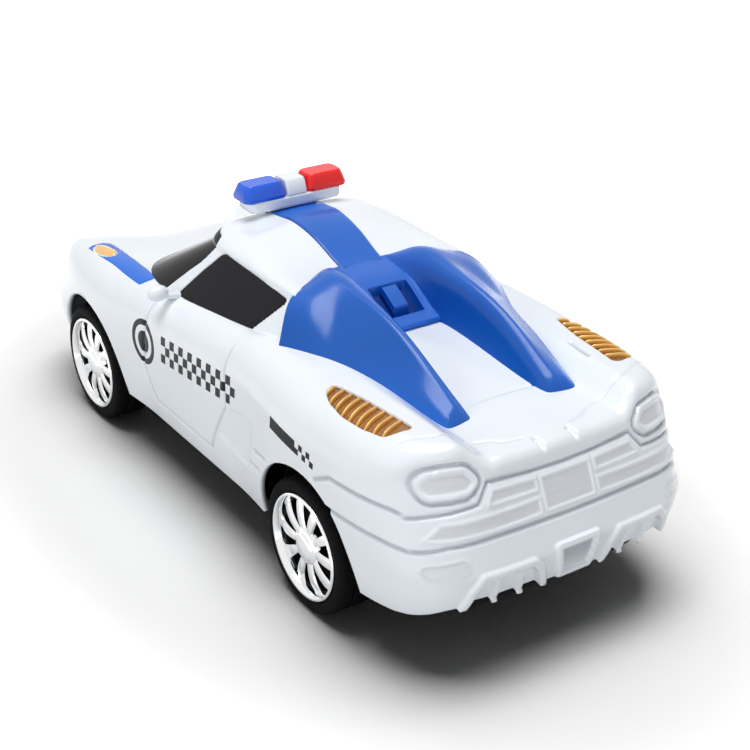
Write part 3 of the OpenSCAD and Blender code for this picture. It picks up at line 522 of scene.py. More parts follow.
WHITE = (0.765, 0.81, 0.86)
BLUE = (0.010, 0.145, 0.66)
# Darker blue painted on the bridge's recess as shade
BLUE_PAINTED_SHADE = (0.003, 0.035, 0.22)
LENS_BLUE = (0.016, 0.110, 0.72)
LENS_RED = (0.86, 0.010, 0.012)
# Amber plastic darkened as painted shade for the grille's base between the ribs
SHADED_AMBER = (0.27, 0.100, 0.010)
GOLD = (0.90, 0.52, 0.13)
PANE = (0.007, 0.007, 0.009)
BLACK = (0.008, 0.008, 0.009)
INK = (0.012, 0.013, 0.018)
CHROME = (0.86, 0.87, 0.88)
STEEL = (0.55, 0.55, 0.57)
CREAM = (0.78, 0.75, 0.66)
BAR_SHADE_GREY = (0.34, 0.36, 0.40)
PANEL_GREY = (0.50, 0.515, 0.55)
# Grey-blue painted into grooves, slots and the exhaust's hollow, standing in for the shade there
PAINTED_SHADE_GREY = (0.26, 0.30, 0.36)
WHITE_FINISH = dict(rough=0.18, coat=0.2, vary=0.025, bump=0.012)
LENS_FINISH = dict(rough=0.12, coat=0.15, vary=0.1, spec=0.3)

white = plastic("white_plastic", WHITE, **WHITE_FINISH)
blue = plastic("blue_plastic", BLUE, rough=0.22, coat=0.1, vary=0.06, bump=0.004, spec=0.3)
# Darker blue painted on the bridge's recess, standing in for the shade there
blue_painted_shade = plastic("blue_painted_shade", BLUE_PAINTED_SHADE, rough=0.35, coat=0.0, vary=0.1, bump=0.004, spec=0.1)
pane = plastic("pane_black", PANE, rough=0.2, coat=0.0, vary=0.1, bump=0.006, spec=0.12)
# The grille's base is the same amber plastic as its ribs, painted darker to stand in for the shade between
# and under the ribs
shaded_amber = plastic("shaded_amber_plastic", SHADED_AMBER, rough=0.26, coat=0.35, metallic=0.25, vary=0.18)
amber_rib = plastic("amber_rib", GOLD, rough=0.2, coat=0.5, metallic=0.25, vary=0.12)
lens_blue = plastic("lens_blue", LENS_BLUE, **LENS_FINISH)
lens_red = plastic("lens_red", LENS_RED, **LENS_FINISH)
chrome = plastic("rim_chrome", CHROME, rough=0.07, coat=0.0, metallic=1.0, vary=0.03, bump=0.004)
rubber = plastic("tyre_rubber", BLACK, rough=0.6, coat=0.0, vary=0.2, bump=0.12, grain=1400.0, spec=0.02)
black = plastic("chassis_black", BLACK, rough=0.5, coat=0.0, vary=0.15, bump=0.1, spec=0.06)
steel = plastic("steel", STEEL, rough=0.25, coat=0.0, metallic=1.0, vary=0.06)
gear = plastic("gear_plastic", CREAM, rough=0.4, coat=0.0, vary=0.06)
# Grey painted on the light bar's foot, standing in for the shade under the bar
bar_shade_grey = plastic("bar_foot_painted_shade", BAR_SHADE_GREY, rough=0.22, coat=0.4, vary=0.05)

# Plain marks printed on the sides: a label by the rear wheel, a band along the door, a ring and a disc
MARKS_Y = 40.0
LABEL_X, LABEL_Z, LABEL_H, LABEL_LEAN = REAR_X + 14.6, 47.9, 3.4, 0.12
LABEL_BAR, LABEL_L, LABEL_CELL = 12.6, 21.1, 1.7
BAND_X, BAND_Z, BAND_L, BAND_H, BAND_LEAN, BAND_CELL = REAR_X + 80, 39.5, 44.0, 8.25, 0.095, 2.75
RING_X, RING_Z, RING_OUT, RING_IN, DISC_R = REAR_X + 91.5, 41.5, 7.0, 5.2, 3.4


def chequers(t, u, w, cell):
    columns = maths(t, "FLOOR", maths(t, "DIVIDE", u, cell))
    rows = maths(t, "FLOOR", maths(t, "DIVIDE", w, cell))
    return maths(t, "LESS_THAN", maths(t, "PINGPONG", maths(t, "ADD", columns, rows), 1.0), 0.5)


def side_marks(t, x, z):
    """One where a mark is printed, and zero elsewhere."""
    u = maths(t, "SUBTRACT", LABEL_X, x)
    w = maths(t, "ADD", maths(t, "SUBTRACT", z, LABEL_Z), times(t, u, LABEL_LEAN))
    tall = between(t, w, 0.0, LABEL_H)
    bar = times(t, between(t, u, 0.0, LABEL_BAR), tall)
    squares = chequers(t, maths(t, "SUBTRACT", u, LABEL_BAR), w, LABEL_CELL)
    label = maths(t, "ADD", bar, times(t, between(t, u, LABEL_BAR, LABEL_L), tall, squares))
    u = maths(t, "SUBTRACT", BAND_X, x)
    w = maths(t, "SUBTRACT", maths(t, "SUBTRACT", z, BAND_Z), times(t, u, BAND_LEAN))
    band = times(t, between(t, u, 0.0, BAND_L), between(t, w, 0.0, BAND_H), chequers(t, u, w, BAND_CELL))
    dx, dz = maths(t, "SUBTRACT", x, RING_X), maths(t, "SUBTRACT", z, RING_Z)
    r = maths(t, "SQRT", maths(t, "ADD", times(t, dx, dx), times(t, dz, dz)))
    ring = maths(t, "ADD", between(t, r, RING_IN, RING_OUT), maths(t, "LESS_THAN", r, DISC_R))
    return maths(t, "MINIMUM", maths(t, "ADD", label, maths(t, "ADD", band, ring)), 1.0)


def shell_material():
    """White body plastic with matt panels, painted shade in its grooves and hollows, and plain marks on the
    sides.
    """
    m = plastic("body_plastic", WHITE, **WHITE_FINISH)
    t = m.node_tree
    shader = t.nodes["Principled BSDF"]
    where = node_of(t, "ShaderNodeTexCoord").outputs["Object"]
    stretch = node_of(t, "ShaderNodeMapping", Scale=(300, 60, 2600))
    hair = node_of(t, "ShaderNodeTexNoise", Scale=1.0, Detail=2.0)
    t.links.new(where, stretch.inputs["Vector"])
    t.links.new(stretch.outputs["Vector"], hair.inputs["Vector"])
    panel = node_of(t, "ShaderNodeAttribute", attribute_name="panel").outputs["Fac"]
    painted_shade = node_of(t, "ShaderNodeAttribute", attribute_name="painted_shade").outputs["Fac"]
    over_colour(m, times(t, panel, maths(t, "MULTIPLY_ADD", hair.outputs["Fac"], 0.4, 0.22)), PANEL_GREY)
    # Painted shade: grooves, slots and the exhaust's hollow are mixed towards a darker grey-blue
    over_colour(m, times(t, painted_shade, 0.5), PAINTED_SHADE_GREY)
    axes = node_of(t, "ShaderNodeSeparateXYZ")
    t.links.new(where, axes.inputs[0])
    x, y, z = (times(t, axis, 1 / MM) for axis in axes.outputs)
    side = maths(t, "GREATER_THAN", maths(t, "ABSOLUTE", y), MARKS_Y)
    ink = times(t, side_marks(t, x, z), side)
    over_colour(m, ink, INK)
    t.links.new(maths(t, "MULTIPLY_ADD", ink, -0.2, 0.2), shader.inputs["Coat Weight"])
    t.links.new(maths(t, "MULTIPLY_ADD", ink, -0.4, 0.5), shader.inputs["Specular IOR Level"])
    return m


def grow(outline, r):
    """Outline with rounded corners, set outward by r."""
    ring = round_outline(outline, 1.5)
    after, before = np.roll(ring, -1, 0), np.roll(ring, 1, 0)
    d = after - before
    out = r * points(d[:, 1], -d[:, 0]) / np.linalg.norm(d, axis=1, keepdims=True)
    area = np.sum(ring[:, 0] * after[:, 1] - after[:, 0] * ring[:, 1])
    return ring + out if area > 0 else ring - out


# Outlines laid on the body, as in the part's source

def placed(x, y, outline):
    return [(x + a, y + b) for a, b in outline]


WINDOW = placed(REAR_X, 0, [
    (84, 57.8), (78.9, 65.1), (73.2, 71.9), (54.3, 71.5), (36.6, 70.9), (41.3, 65.4), (46, 59.9),
    (63.7, 58.6),
])
SCREEN = [
    (FRONT_X - 38, BELT + 0.4), (FRONT_X - 43, BELT + 6), (FRONT_X - 48, BELT + 11),
    (FRONT_X - 51, ROOF - 5.2), (FRONT_X - 30, ROOF - 5.2), (FRONT_X, ROOF - 5.2), (FRONT_X, BELT + 0.4),
    (FRONT_X - 20, BELT + 0.4),
]
TRIM = placed(FRONT_X, 0, [
    (-27.5, 42.3), (-30, 36.6), (-26, 36.2), (-5.5, 35.2), (9, 33.8), (12.4, 34.9), (14.2, 40.8), (4.3, 41.6),
    (-5.4, 41.7), (-18, 42.1),
])
LAMP = [(FRONT_X + 4.4 + 7.2 * math.cos(a), 38.6 + 2.5 * math.sin(a)) for a in ring_angles(24)]
GRILLE = placed(REAR_X, WING_Y, [
    (1.5, 1.5), (-8, -0.5), (-26, -2.5), (-25, 3.6), (-18, 5.2), (-10, 5.8), (-3, 5), (0.5, 3.5),
])
GRILLE_EDGE = grow(GRILLE, 1.1)
COVER_EDGE = [(7.2, 44.6), (9.4, 44.6), (15.5, 42), (22, 37.5), (30.4, 33.4), (38, 26.6), (40, 25.2)]

# Moulded details of the rear face, by their distance from the middle and their height
TAIL_LAMP = round_outline([
    (25.3, 52.6), (27.8, 55.6), (33, 55.9), (37.2, 55.3), (39.0, 53.6), (39.3, 51.9), (38, 50.2), (33, 50.3),
    (28.2, 50.4),
], 1.2)
TAIL_SLOT = [(33.4, 34.1), (39.8, 32.9)]
PIPE = [(-6.3, 32.2), (6.3, 32.2), (4.7, 23.1), (-4.7, 23.1)]
UPPER_LINE = [
    (0, 50.8), (10, 51.0), (22.6, 51.7), (26, 47.4), (38, 46.3), (43.1, 45.0), (48, 44.6), (60, 44.6),
]
LOWER_LINE = [(0, 39.3), (24, 39.5), (36, 38.9), (43, 37.2), (50, 36.9)]
TAIL_EDGE = [(0, 22.4), (32, 22.5), (36, 21.2), (41, 17.6), (43, 17)]
PANELS = [
    [(-7.7, 41.2), (7.7, 41.2), (7.7, 49.2), (-7.7, 49.2)],
    [(9.2, 46.5), (9.2, 49.3), (21.8, 49.8), (23.9, 46.6)],
    [(9.2, 41.1), (9.2, 44.7), (36.4, 44.2), (40.2, 40.6)],
]
FIN_FRAME = [(32.4, 21), (30.8, 27), (28.2, 30.5), (13.8, 30.6), (11.4, 27.6), (9.2, 21)]
FIN_BARS = [[(23.9, 30), (23.9, 21)], [(17.4, 30), (16.2, 21)]]
FIN_H = 1.1

# Details of the sides, by their place along the car and their height
UPPER_SIDE = [(-112, 44.6), (-106, 45.2), (-97, 46.3), (-77, 46.1), (-70.6, 42.8)]
LOWER_SIDE = [(-113, 36.8), (-104, 37.2), (-96, 37.7), (-78, 37.6)]
DOOR = [
    (FRONT_X - 40, BELT - 3), (FRONT_X - 38, SILL + 17), (FRONT_X - 44, SILL + 7), (REAR_X + 52, SILL + 7),
    (REAR_X + 48, SILL + 14), (REAR_X + 41.6, SILL + 24.3), (REAR_X + 43, BELT),
]
SCOOP = placed(REAR_X, SILL, [
    (39.5, 25), (45.8, 14.5), (42, 12.4), (28, 12), (24.6, 26.5), (32, 27),
])
# Grooves: the line of each, its half width and its depth
SIDE_CUTS = [
    (DOOR, 0.9, 0.5), ([(REAR_X + 24, 36.6), (REAR_X + 17.2, 37.0)], 0.8, 0.5),
    ([(REAR_X + 28, 31.4), (REAR_X + 21.6, 31.7)], 0.8, 0.5),
]

# Details of the deck, by their place along the car and their distance from the middle
DECK_LINE = [(-93, 39), (-96.4, 31), (-97, 25), (-97.5, 19), (-98.6, 15.4), (-100.6, 12.8), (-101.6, 8)]
DECK_CUTS = [([(-103.6, 5.2), (-106.2, 5.2)], 1.3, 0.9), ([(-81.3, 0), (-81.6, 8), (-82.6, 15)], 0.8, 0.3)]
WING_SLIT = [(REAR_X - 11.3, 29.7), (REAR_X - 19.8, 28.9)]

# Intakes of the front bumper: the line of each and half its height
INTAKES = [([(0, SILL + 9), (17, SILL + 9)], 2.8), ([(26, SILL + 9.6), (36, SILL + 10.4)], 2.1)]


def cuts(q, grooves):
    return np.minimum.reduce([groove(line_dist(q, line), half_w, depth) for line, half_w, depth in grooves])


def off_line(q, line):
    """Upright distance from a line that runs on level past its ends."""
    return np.abs(q[:, 1] - np.interp(q[:, 0], *np.transpose(line)))


def rear_relief(q, facing):
    """Rear face: grooves, lamp rings, panels, slots, exhaust and fins, with shade painted into the grooves,
    the slot and the exhaust's hollow.
    """
    cut = np.minimum(groove(line_dist(q, UPPER_LINE), 0.85, 0.9), groove(off_line(q, LOWER_LINE), 0.95, 0.9))
    cut *= ease((facing - 0.45) / 0.1)
    lamp = inside_dist(q, TAIL_LAMP)
    cut = np.minimum(cut, groove(np.abs(lamp + 1.35), 0.85, 0.85))
    painted_shade = np.clip(-cut / 0.9, 0, 1)
    flat = ease((lamp - 0.8) / 0.4)
    up = ridge(np.abs(lamp), 0.95, 0.45) - 0.45 * flat
    for outline in PANELS:
        d = inside_dist(q, outline)
        up += ridge(np.abs(d), 0.55, 0.34) - 0.3 * ease((d - 0.4) / 0.4)
        flat = np.maximum(flat, ease((d - 0.45) / 0.3))
    slot = 1.75 - line_dist(q, TAIL_SLOT)
    up += ridge(np.abs(slot), 0.7, 0.25) - 0.8 * ease(slot / 0.7)
    flat = np.maximum(flat, 0.6 * ease((slot - 0.3) / 0.4))
    painted_shade = np.maximum(painted_shade, 0.5 * ease(1 - np.abs(slot - 0.2) / 0.6))
    pipe = inside_dist(q, PIPE)
    up += ridge(np.abs(pipe), 1.2, 1.0) - 7.0 * ease((pipe - 0.6) / 0.9)
    # Painted shade inside the exhaust, darker towards its top
    shade = 0.7 + 0.8 * ease((q[:, 1] - 24) / 6)
    painted_shade = np.maximum(painted_shade, shade * ease((pipe - 0.9) / 0.8))
    bars = np.minimum.reduce([line_dist(q, bar) for bar in FIN_BARS])
    fins = np.maximum(ease((1.6 - line_dist(q, FIN_FRAME)) / 0.9), FIN_H * ease((1.25 - bars) / 0.7))
    sunk = FIN_H * ease((inside_dist(q, FIN_FRAME) - 0.5) / 0.9)
    return cut, np.maximum(up, fins) - sunk, flat, painted_shade


def side_relief(q, facing):
    """Sides: the grooves of the rear face run on, the door's line and the scoop ahead of the rear wheel;
    shade is painted into the grooves.
    """
    tail = ease((facing - 0.8) / 0.08) * (q[:, 0] < REAR_X - 6.6)
    cut = tail * groove(np.minimum(off_line(q, UPPER_SIDE), off_line(q, LOWER_SIDE)), 0.9, 0.8)
    cut = np.minimum(cut, cuts(q, SIDE_CUTS))
    scoop = inside_dist(q, round_outline(SCOOP, 1.5))
    ramp = 0.5 + 1.5 * np.clip((REAR_X + 45 - q[:, 0]) / 19, 0, 1)
    return np.minimum(cut, -ramp * ease(scoop / 1.7)), np.clip(-cut / 0.7, 0, 1)


def top_relief(q, right):
    """Top: the slit on the right, the line round the deck and its short grooves, with shade painted into the
    slit and the deck's line.
    """
    slit = np.where(right, groove(line_dist(q, WING_SLIT), 0.8, 0.9), 0)
    deck = groove(line_dist(q, DECK_LINE), 0.9, 0.3)
    return np.minimum.reduce([slit, deck, cuts(q, DECK_CUTS)]), np.clip(-slit / 0.6, 0, 1) - deck


def nose_relief(q):
    """Front: intakes in the bumper."""
    mouth = np.maximum.reduce([half_h - line_dist(q, line) for line, half_h in INTAKES])
    return -1.6 * ease(mouth / 0.9), 0.5 * ease(mouth / 0.6)


def tub_relief(p, n):
    """How far the moulded details stand off the lower body, where its matt panels lie and where shade is
    painted into its grooves and hollows.
    """
    x, y, z = p[..., 0], np.abs(p[..., 1]), p[..., 2]
    xy, xz, yz = points(x, y), points(x, z), points(y, z)
    cut, up, panel, painted_shade = (np.zeros(x.shape) for _ in range(4))
    rear = (x < -88) & (n[..., 0] < -0.12) & (z < 60.5)
    cut[rear], up[rear], panel[rear], painted_shade[rear] = rear_relief(yz[rear], -n[..., 0][rear])
    side = (x > -113) & (x < 95) & (np.abs(n[..., 1]) > 0.3) & (z < 60)
    top = (n[..., 2] > 0.3) & (z > 38)
    sides = (side, *side_relief(xz[side], np.abs(n[..., 1][side])))
    tops = (top, *top_relief(xy[top], p[..., 1][top] < 0))
    # Deepest cut and strongest painted shade from the sides and the top
    for where, deep, painted_dark in (sides, tops):
        cut[where] = np.minimum(cut[where], deep)
        painted_shade[where] = np.maximum(painted_shade[where], painted_dark)
    nose = (x > 90) & (n[..., 0] > 0.2) & (z < 40)
    deep, flat = nose_relief(yz[nose])
    cut[nose] = np.minimum(cut[nose], deep)
    panel[nose] = np.maximum(panel[nose], flat)
    return np.where(cut < -0.001, np.minimum(cut, up), up), panel, painted_shade


# Body pieces

OPEN, SHUT = 9.0, -9.0
SHELL_T, CABIN_T, PANE_T, TRIM_T = 1.6, 1.0, 1.0, 1.0
PANE_SEAT, PANE_IN = 0.8, 0.25


def build_body():
    """Lower body with its relief, cut out at the wheel arches, the tail's edge and the wing grilles."""
    n = grid_normals(tub)
    relief, panels, painted_shades = tub_relief(tub, n)
    x, y, z = tub[..., 0], np.abs(tub[..., 1]), tub[..., 2]
    wheels = np.minimum(np.hypot(x - REAR_X, z - AXLE_Z), np.hypot(x - FRONT_X, z - AXLE_Z))
    arches = np.where(y > 20, wheels - ARCH_R, OPEN)
    yz = points(y, z)
    fins = np.minimum.reduce([line_dist(yz, line) for line in [FIN_FRAME, *FIN_BARS]])
    tail = z - np.interp(y, *np.transpose(TAIL_EDGE)) + 0.6 * ease((1.5 - fins) / 0.9)
    tail = np.where((x < -98) & (y < 42.9), tail, OPEN)
    grilles = np.where(n[..., 2] > 0.3, -inside_dist(points(x, y), GRILLE_EDGE), OPEN)
    keep = np.minimum.reduce([arches, tail, grilles])
    # The shares of painted shade in grooves and hollows go with the mesh to its material
    v, f, masks = clip_grid(tub + n * relief[..., None], keep, masks={"panel": panels, "painted_shade": painted_shades})
    finish = shell_material()
    add_mesh(
        "body_lower", v, f, finish, "body_shell", "body_white", masks=masks, smooth=50, wall=SHELL_T)


def build_cabin():
    """Cabin that ends on the front edge of the engine cover, with its panes in sunken seats."""
    cabin = cabin_grid()
    n = grid_normals(cabin)
    x, y, z = np.moveaxis(cabin, -1, 0)
    xz = points(x, z)
    windows = inside_dist(xz, round_outline(WINDOW, 1.3)) + 0.2
    windows = np.where(np.abs(n[..., 1]) > 0.35, windows, SHUT)
    screen = inside_dist(xz, round_outline(SCREEN, 1.5)) + 1.2
    screen = np.where(x > FRONT_X - 60, screen, SHUT)
    sunk = PANE_SEAT * ease((np.maximum(windows, screen) + 0.25) / 0.5)
    edge = REAR_X + np.interp(np.abs(y), *np.transpose(COVER_EDGE))
    v, f, _ = clip_grid(cabin - n * sunk[..., None], np.where(z > BELT + 3, x - edge, OPEN))
    add_mesh("body_cabin", v, f, white, "body_shell", "body_white", smooth=50, wall=CABIN_T)
    panes = {
        "side_window_left": np.where(y > 0, windows, SHUT),
        "side_window_right": np.where(y < 0, windows, SHUT),
        "windscreen": screen,
    }
    for name, keep in panes.items():
        v, f, _ = clip_grid(cabin - n * PANE_IN, keep - 0.05)
        add_mesh(name + "_pane", v, f, pane, name, "pane_black", wall=PANE_T)


def ellipsoid(c, r, n=20):
    """Egg round c with half sizes r, nearly closed at its lower and upper ends."""
    a = ring_angles(2 * n)
    rows = []
    for t in np.linspace(math.pi - 0.06, 0.06, n):
        ring = points(np.sin(t) * np.cos(a), np.sin(t) * np.sin(a), np.full_like(a, np.cos(t)))
        rows.append(np.array(c) + ring * np.array(r))
    return loft(rows)


def build_mirrors():
    """Mirror on each side: a short arm from the cabin's foot and a rounded cap."""
    foot = np.array([FRONT_X - 46, CABIN_W / 2 - 2, BELT - 0.6])
    head = np.array([FRONT_X - 46.4, CABIN_W / 2 + 5, BELT + 1.4])
    a = ring_angles(16)
    oval = points(1.8 * np.cos(a), 0 * a, 1.2 * np.sin(a))
    arm = loft([mix(foot, head, t) + oval for t in np.linspace(1, 0, 8)])
    cap = ellipsoid((FRONT_X - 46.5, CABIN_W / 2 + 6.2, BELT + 2.2), (2.2, 3.3, 2.4))
    mirror = joined([arm, cap])
    for tag, side in SIDES:
        add_mesh("mirror_" + tag, *sided(mirror, side), white, "body_shell", "body_white")


build_body()
build_cabin()
build_mirrors()


# Engine cover: two buttresses on rails, a bridge with an intake and the roof stripe

BRIDGE_X, SHELF_X, ROOF_END_X, BRIDGE_W = REAR_X + 19, REAR_X + 33, REAR_X + 45.5, 10.7
BRIDGE_LINE = [
    (BRIDGE_X, DECK + 6.2), (BRIDGE_X + 3, DECK + 7.6), (SHELF_X, ROOF - 8.6), (ROOF_END_X, ROOF - 6.45),
]
MOUTH_W, MOUTH_DEEP, BLOCK_W, BLOCK_H = 12.4, 2.6, 5.0, 3.0
BRIDGE_T, STRIPE_T, COVER_SUNK = 1.4, 0.9, 0.9
# Steps from the outer to the inner side of a buttress at each rail
COVER_IN = np.array([
    (0, 1.2, -0.5), (0, 1.6, -1.8), (0, 0, -2.4), (0, -0.6, -2.2), (0, -1.2, -1.8), (0, -1.6, -0.5),
])
# Rails from the inner foot over the crest to the outer foot, at these shares of the way back
RAIL_S = (0, 0.12, 0.3, 0.65, 1)
RAIL_X = [
    (45.5, 38, 29, 4, -23.5), (45.5, 38, 29, 4, -24), (43, 35.5, 26.5, 2.2, -24.4),
    (38.5, 31.5, 23, 0, -24.8), (34.4, 27.3, 18.5, -2, -24.9), (27.5, 21, 12, -5.5, -24.9),
]
RAIL_Y = [
    (7.2, 7.6, 8.4, 9.8, 11.5), (9.4, 10.2, 11.2, 12.8, 13.2), (15.5, 15.5, 15.6, 15.8, 15.6),
    (22, 21, 19.8, 18.6, 17.6), (30.6, 28.7, 26.3, 22.5, 19.2), (38, 34.6, 30.8, 26, 21.6),
]
RAIL_Z = [
    None, (73.2, 74.6, 74.2, 69.6, 57.9), (75.6, 77.2, 76.4, 71.6, 58.6),
    (74.6, 75.2, 73.4, 68.2, 58.4), (72.8, 71.1, 67.5, 64.2, 58.4), None,
]
FRONT_Z = (72.4, 72.7, 72.7, 73.3, 72.8, 60.0)
# Shares of the way over which a buttress rounds off in front and behind
FRONT_ROUND, TAIL_ROUND = 0.07, 0.05


def rounded_end(t):
    return math.sqrt(1 - (1 - min(1, t)) ** 2)


def rail(i, s):
    """Point of a rail of the left buttress, whose feet lie on the body and the bridge."""
    def at(table):
        return float(along(s, list(zip(RAIL_S, table[i]))))
    x, y = REAR_X + at(RAIL_X), at(RAIL_Y)
    rest = float(top_z(x, y)) - COVER_SUNK
    if i == 0:
        z = mix(rest, float(along(x, BRIDGE_LINE)) - 0.6, float(ease((x - BRIDGE_X + 4) / 8)))
    elif i == 5:
        z = rest
    else:
        z = mix(FRONT_Z[i], at(RAIL_Z), rounded_end(s / FRONT_ROUND))
        z = mix(rest, z, rounded_end((1 - s) / TAIL_ROUND))
    return np.array([x, y, z])


def bend(a, b, c, n, w):
    p, q = mix(a, b, 1 - w), mix(b, c, w)
    return [mix(mix(p, b, t), mix(b, q, t), t) for t in np.linspace(0, 1, n + 1)]


def cover_line(r):
    """Cross section of a buttress over its six rails, rounded at the four upper ones."""
    out = [r[0]]
    for k, w in ((1, 0.4), (2, 0.48), (3, 0.34), (4, 0.45)):
        out += bend(r[k - 1], r[k], r[k + 1], 9, w)
    return out + [mix(r[4], r[5], 0.7), mix(r[4], r[5], 0.85), r[5]]


def build_buttresses():
    rings = []
    for s in 0.5 - 0.5 * np.cos(np.linspace(0, math.pi, 150)):
        outer = [rail(i, s) for i in range(6)]
        inner = [p + d for p, d in zip(outer, COVER_IN)]
        rings.append(cover_line(outer) + cover_line(inner)[::-1])
    mesh = solid(*loft(rings))
    for tag, side in SIDES:
        name = "cover_buttress_" + tag
        add_mesh(name, *sided(mesh, side), blue, "engine_cover", "cover_blue", smooth=45)


def cover_sheet(name, x, y, z, t, smooth=32):
    v = points(x, y, z).reshape(-1, 3)
    f = [g[::-1] for g in grid_faces(*x.shape, False)]
    return add_mesh(name, v, f, blue, "engine_cover", "cover_blue", smooth=smooth, wall=t)


def build_bridge():
    """Bridge between the buttresses with a block in its sunken mouth."""
    xs, ys = np.linspace(BRIDGE_X, ROOF_END_X + 0.25, 120), np.linspace(-BRIDGE_W, BRIDGE_W, 90)
    x, y = np.meshgrid(xs, ys, indexing="ij")
    q = points(x, y)
    mouth = inside_dist(q, round_outline(box_outline(BRIDGE_X + 4, SHELF_X - 0.6, MOUTH_W / 2), 0.8))
    block = inside_dist(q, box_outline(BRIDGE_X + 6, SHELF_X - 1.4, BLOCK_W / 2))
    z = along(x, BRIDGE_LINE) - 0.6 * ease((BRIDGE_X + 0.8 - x) / 0.8)
    z = z - MOUTH_DEEP * ease((mouth + 0.15) / 0.3) + BLOCK_H * ease((block + 0.15) / 0.3)
    span = cover_sheet("cover_bridge", x, y, z, BRIDGE_T, smooth=40)
    # Painted shade: the recess round the block gets a darker blue that stands in for the shade falling in it
    span.data.materials.append(blue_painted_shade)
    deep = ((mouth > 0.1) & (block < 0.05)).ravel()
    for face in span.data.polygons:
        face.material_index = int(all(deep[i] for i in face.vertices))


def build_stripe():
    """Stripe along the roof from the bridge to the light bar, a little wider in front."""
    x, y = np.meshgrid(np.linspace(REAR_X + 44, BAR_X + 1, 60), np.linspace(-1, 1, 40), indexing="ij")
    half = mix(STRIPE_W / 2, STRIPE_FRONT_W / 2, np.clip((x - REAR_X - 46) / 34, 0, 1))
    y = y * half
    z = roof_at(x, y) + 0.42 - 0.35 * ease((np.abs(y) - half + 0.5) / 0.5)
    cover_sheet("cover_stripe", x, y, z, STRIPE_T)


build_buttresses()
build_bridge()
build_stripe()


# Wing grilles, wing stripes and headlamps

RIB_COUNT, RIB_GAP, RIB_LEAN = 9, 3.1, math.radians(20)
RIB_W, RIB_H, RIB_Z = 0.34, 0.75, -0.7


def on_top(outline, step, lift, dome=0.0, less=None, soft=0.5):
    """Plate over an outline on the left of the lower body, set off its surface by lift."""
    outline = np.asarray(outline)
    lo, hi = outline.min(0) - 1, outline.max(0) + 1
    x, y = np.meshgrid(np.arange(lo[0], hi[0], step), np.arange(lo[1], hi[1], step), indexing="ij")
    q = points(x, y)
    d = inside_dist(q, outline)
    if less is not None:
        d = np.minimum(d, -inside_dist(q, less))
    crown = dome * np.sqrt(np.clip(d / max(d.max(), 1e-6), 0, 1))
    z = tub_top(x, y) + lift + crown - 0.3 * ease(1 - d / soft)
    v, f, _ = clip_grid(points(x, y, z), d, wrap=False)
    return v, [list(g)[::-1] for g in f]


def grille_ribs():
    """Rounded slats lying slantwise across the left wing grille."""
    outline = grow(GRILLE, 0.95)
    across = np.array([math.cos(RIB_LEAN), math.sin(RIB_LEAN), 0]) * RIB_W
    run = np.array([-math.sin(RIB_LEAN), math.cos(RIB_LEAN)])
    a = ring_angles(20)[:, None]
    section = np.cos(a) * across + np.sin(a) * np.array([0, 0, RIB_H])
    parts = []
    for i in range(RIB_COUNT):
        c = np.array([REAR_X + 1.6 - RIB_GAP * i, WING_Y + 1.5])
        ts = np.linspace(-12, 12, 400)
        good = ts[inside_dist(c + ts[:, None] * run, outline) > 0.1]
        if len(good) < 20:
            continue
        middle, reach = (good[0] + good[-1]) / 2, (good[-1] - good[0]) / 2
        rows = []
        for t in np.linspace(good[0], good[-1], 26):
            p = c + t * run
            slim = 1 - 0.6 * (abs(t - middle) / reach) ** 8
            rows.append(np.array([*p, float(tub_top(*p)) + RIB_Z]) + section * slim)
        parts.append(solid(*loft(rows)))
    return joined(parts)


def build_wings():
    base = on_top(grow(GRILLE, 1.8), 0.4, -1.05, soft=0.2)
    ribs = grille_ribs()
    stripe = on_top(round_outline(TRIM, 1.5), 0.4, 0.3, less=LAMP)
    dome = on_top(LAMP, 0.3, 0.0, dome=1.1)
    pieces = (
        # The grille base is painted a darker amber than its ribs, as shade between them
        ("grille_base_", base, shaded_amber, "vent_grille_", "lamp_amber", TRIM_T),
        ("grille_ribs_", ribs, amber_rib, "vent_grille_", "lamp_amber", None),
        ("wing_stripe_", stripe, blue, "fender_trim_", "cover_blue", TRIM_T),
        ("headlamp_dome_", dome, amber_rib, "headlamp_", "lamp_amber", TRIM_T),
    )
    for tag, side in SIDES:
        for piece, mesh, finish, node, slot, wall in pieces:
            add_mesh(piece + tag, *sided(mesh, side), finish, node + tag, slot, wall=wall)


build_wings()


# Light bar

BAR_Z = float(roof_at(BAR_X, 0)) + 1.3
TRAY_T, BAR_L, BAR_W, LENS_H, LENS_GAP = 3.4, 35.0, 9.6, 4.8, 7.0
LENS_W = (BAR_L - LENS_GAP) / 2
FOOT_L, FOOT_W = 7.0, 16.0
# Levels of each piece: how much longer and wider than its size, corner radius and height
TRAY_LEVELS = [
    (-1.0, -5.0, 1.8, 0), (-0.2, -4.2, 2, 0.5), (0, -4, 2, 1.0), (0, -4, 2, TRAY_T - 0.4),
    (-0.6, -4.6, 1.8, TRAY_T - 0.02),
]
FOOT_LEVELS = [(0, 0, 1.5, -1.6), (-0.6, -0.6, 1.5, 0.2)]
CENTRE_LEVELS = [
    (-1.2, -0.3, 0.6, -0.1), (-1.2, -0.3, 0.6, 0.3), (-0.4, -0.3, 0.8, 0.3), (-0.4, -0.3, 0.8, 1.2),
    (-2.4, -0.3, 0.8, LENS_H - 0.9), (-3.4, -0.6, 0.8, LENS_H - 0.3),
]
LENS_LEVELS = [
    (-0.3, -0.3, 2, 0), (0, 0, 2, 0.4), (0, 0, 2, 1.2), (-2.0, -1.7, 2, LENS_H - 0.9),
    (-2.5, -2.1, 1.9, LENS_H - 0.35), (-3.4, -3.0, 1.6, LENS_H),
]


def stack(levels, length, width, z, y=0.0):
    """Rounded outlines of a piece of the bar, one above the other."""
    rows = [rounded_rect(BAR_X, y, length + dl, width + dw, r, z + h) for dl, dw, r, h in levels]
    return solid(*loft(rows))


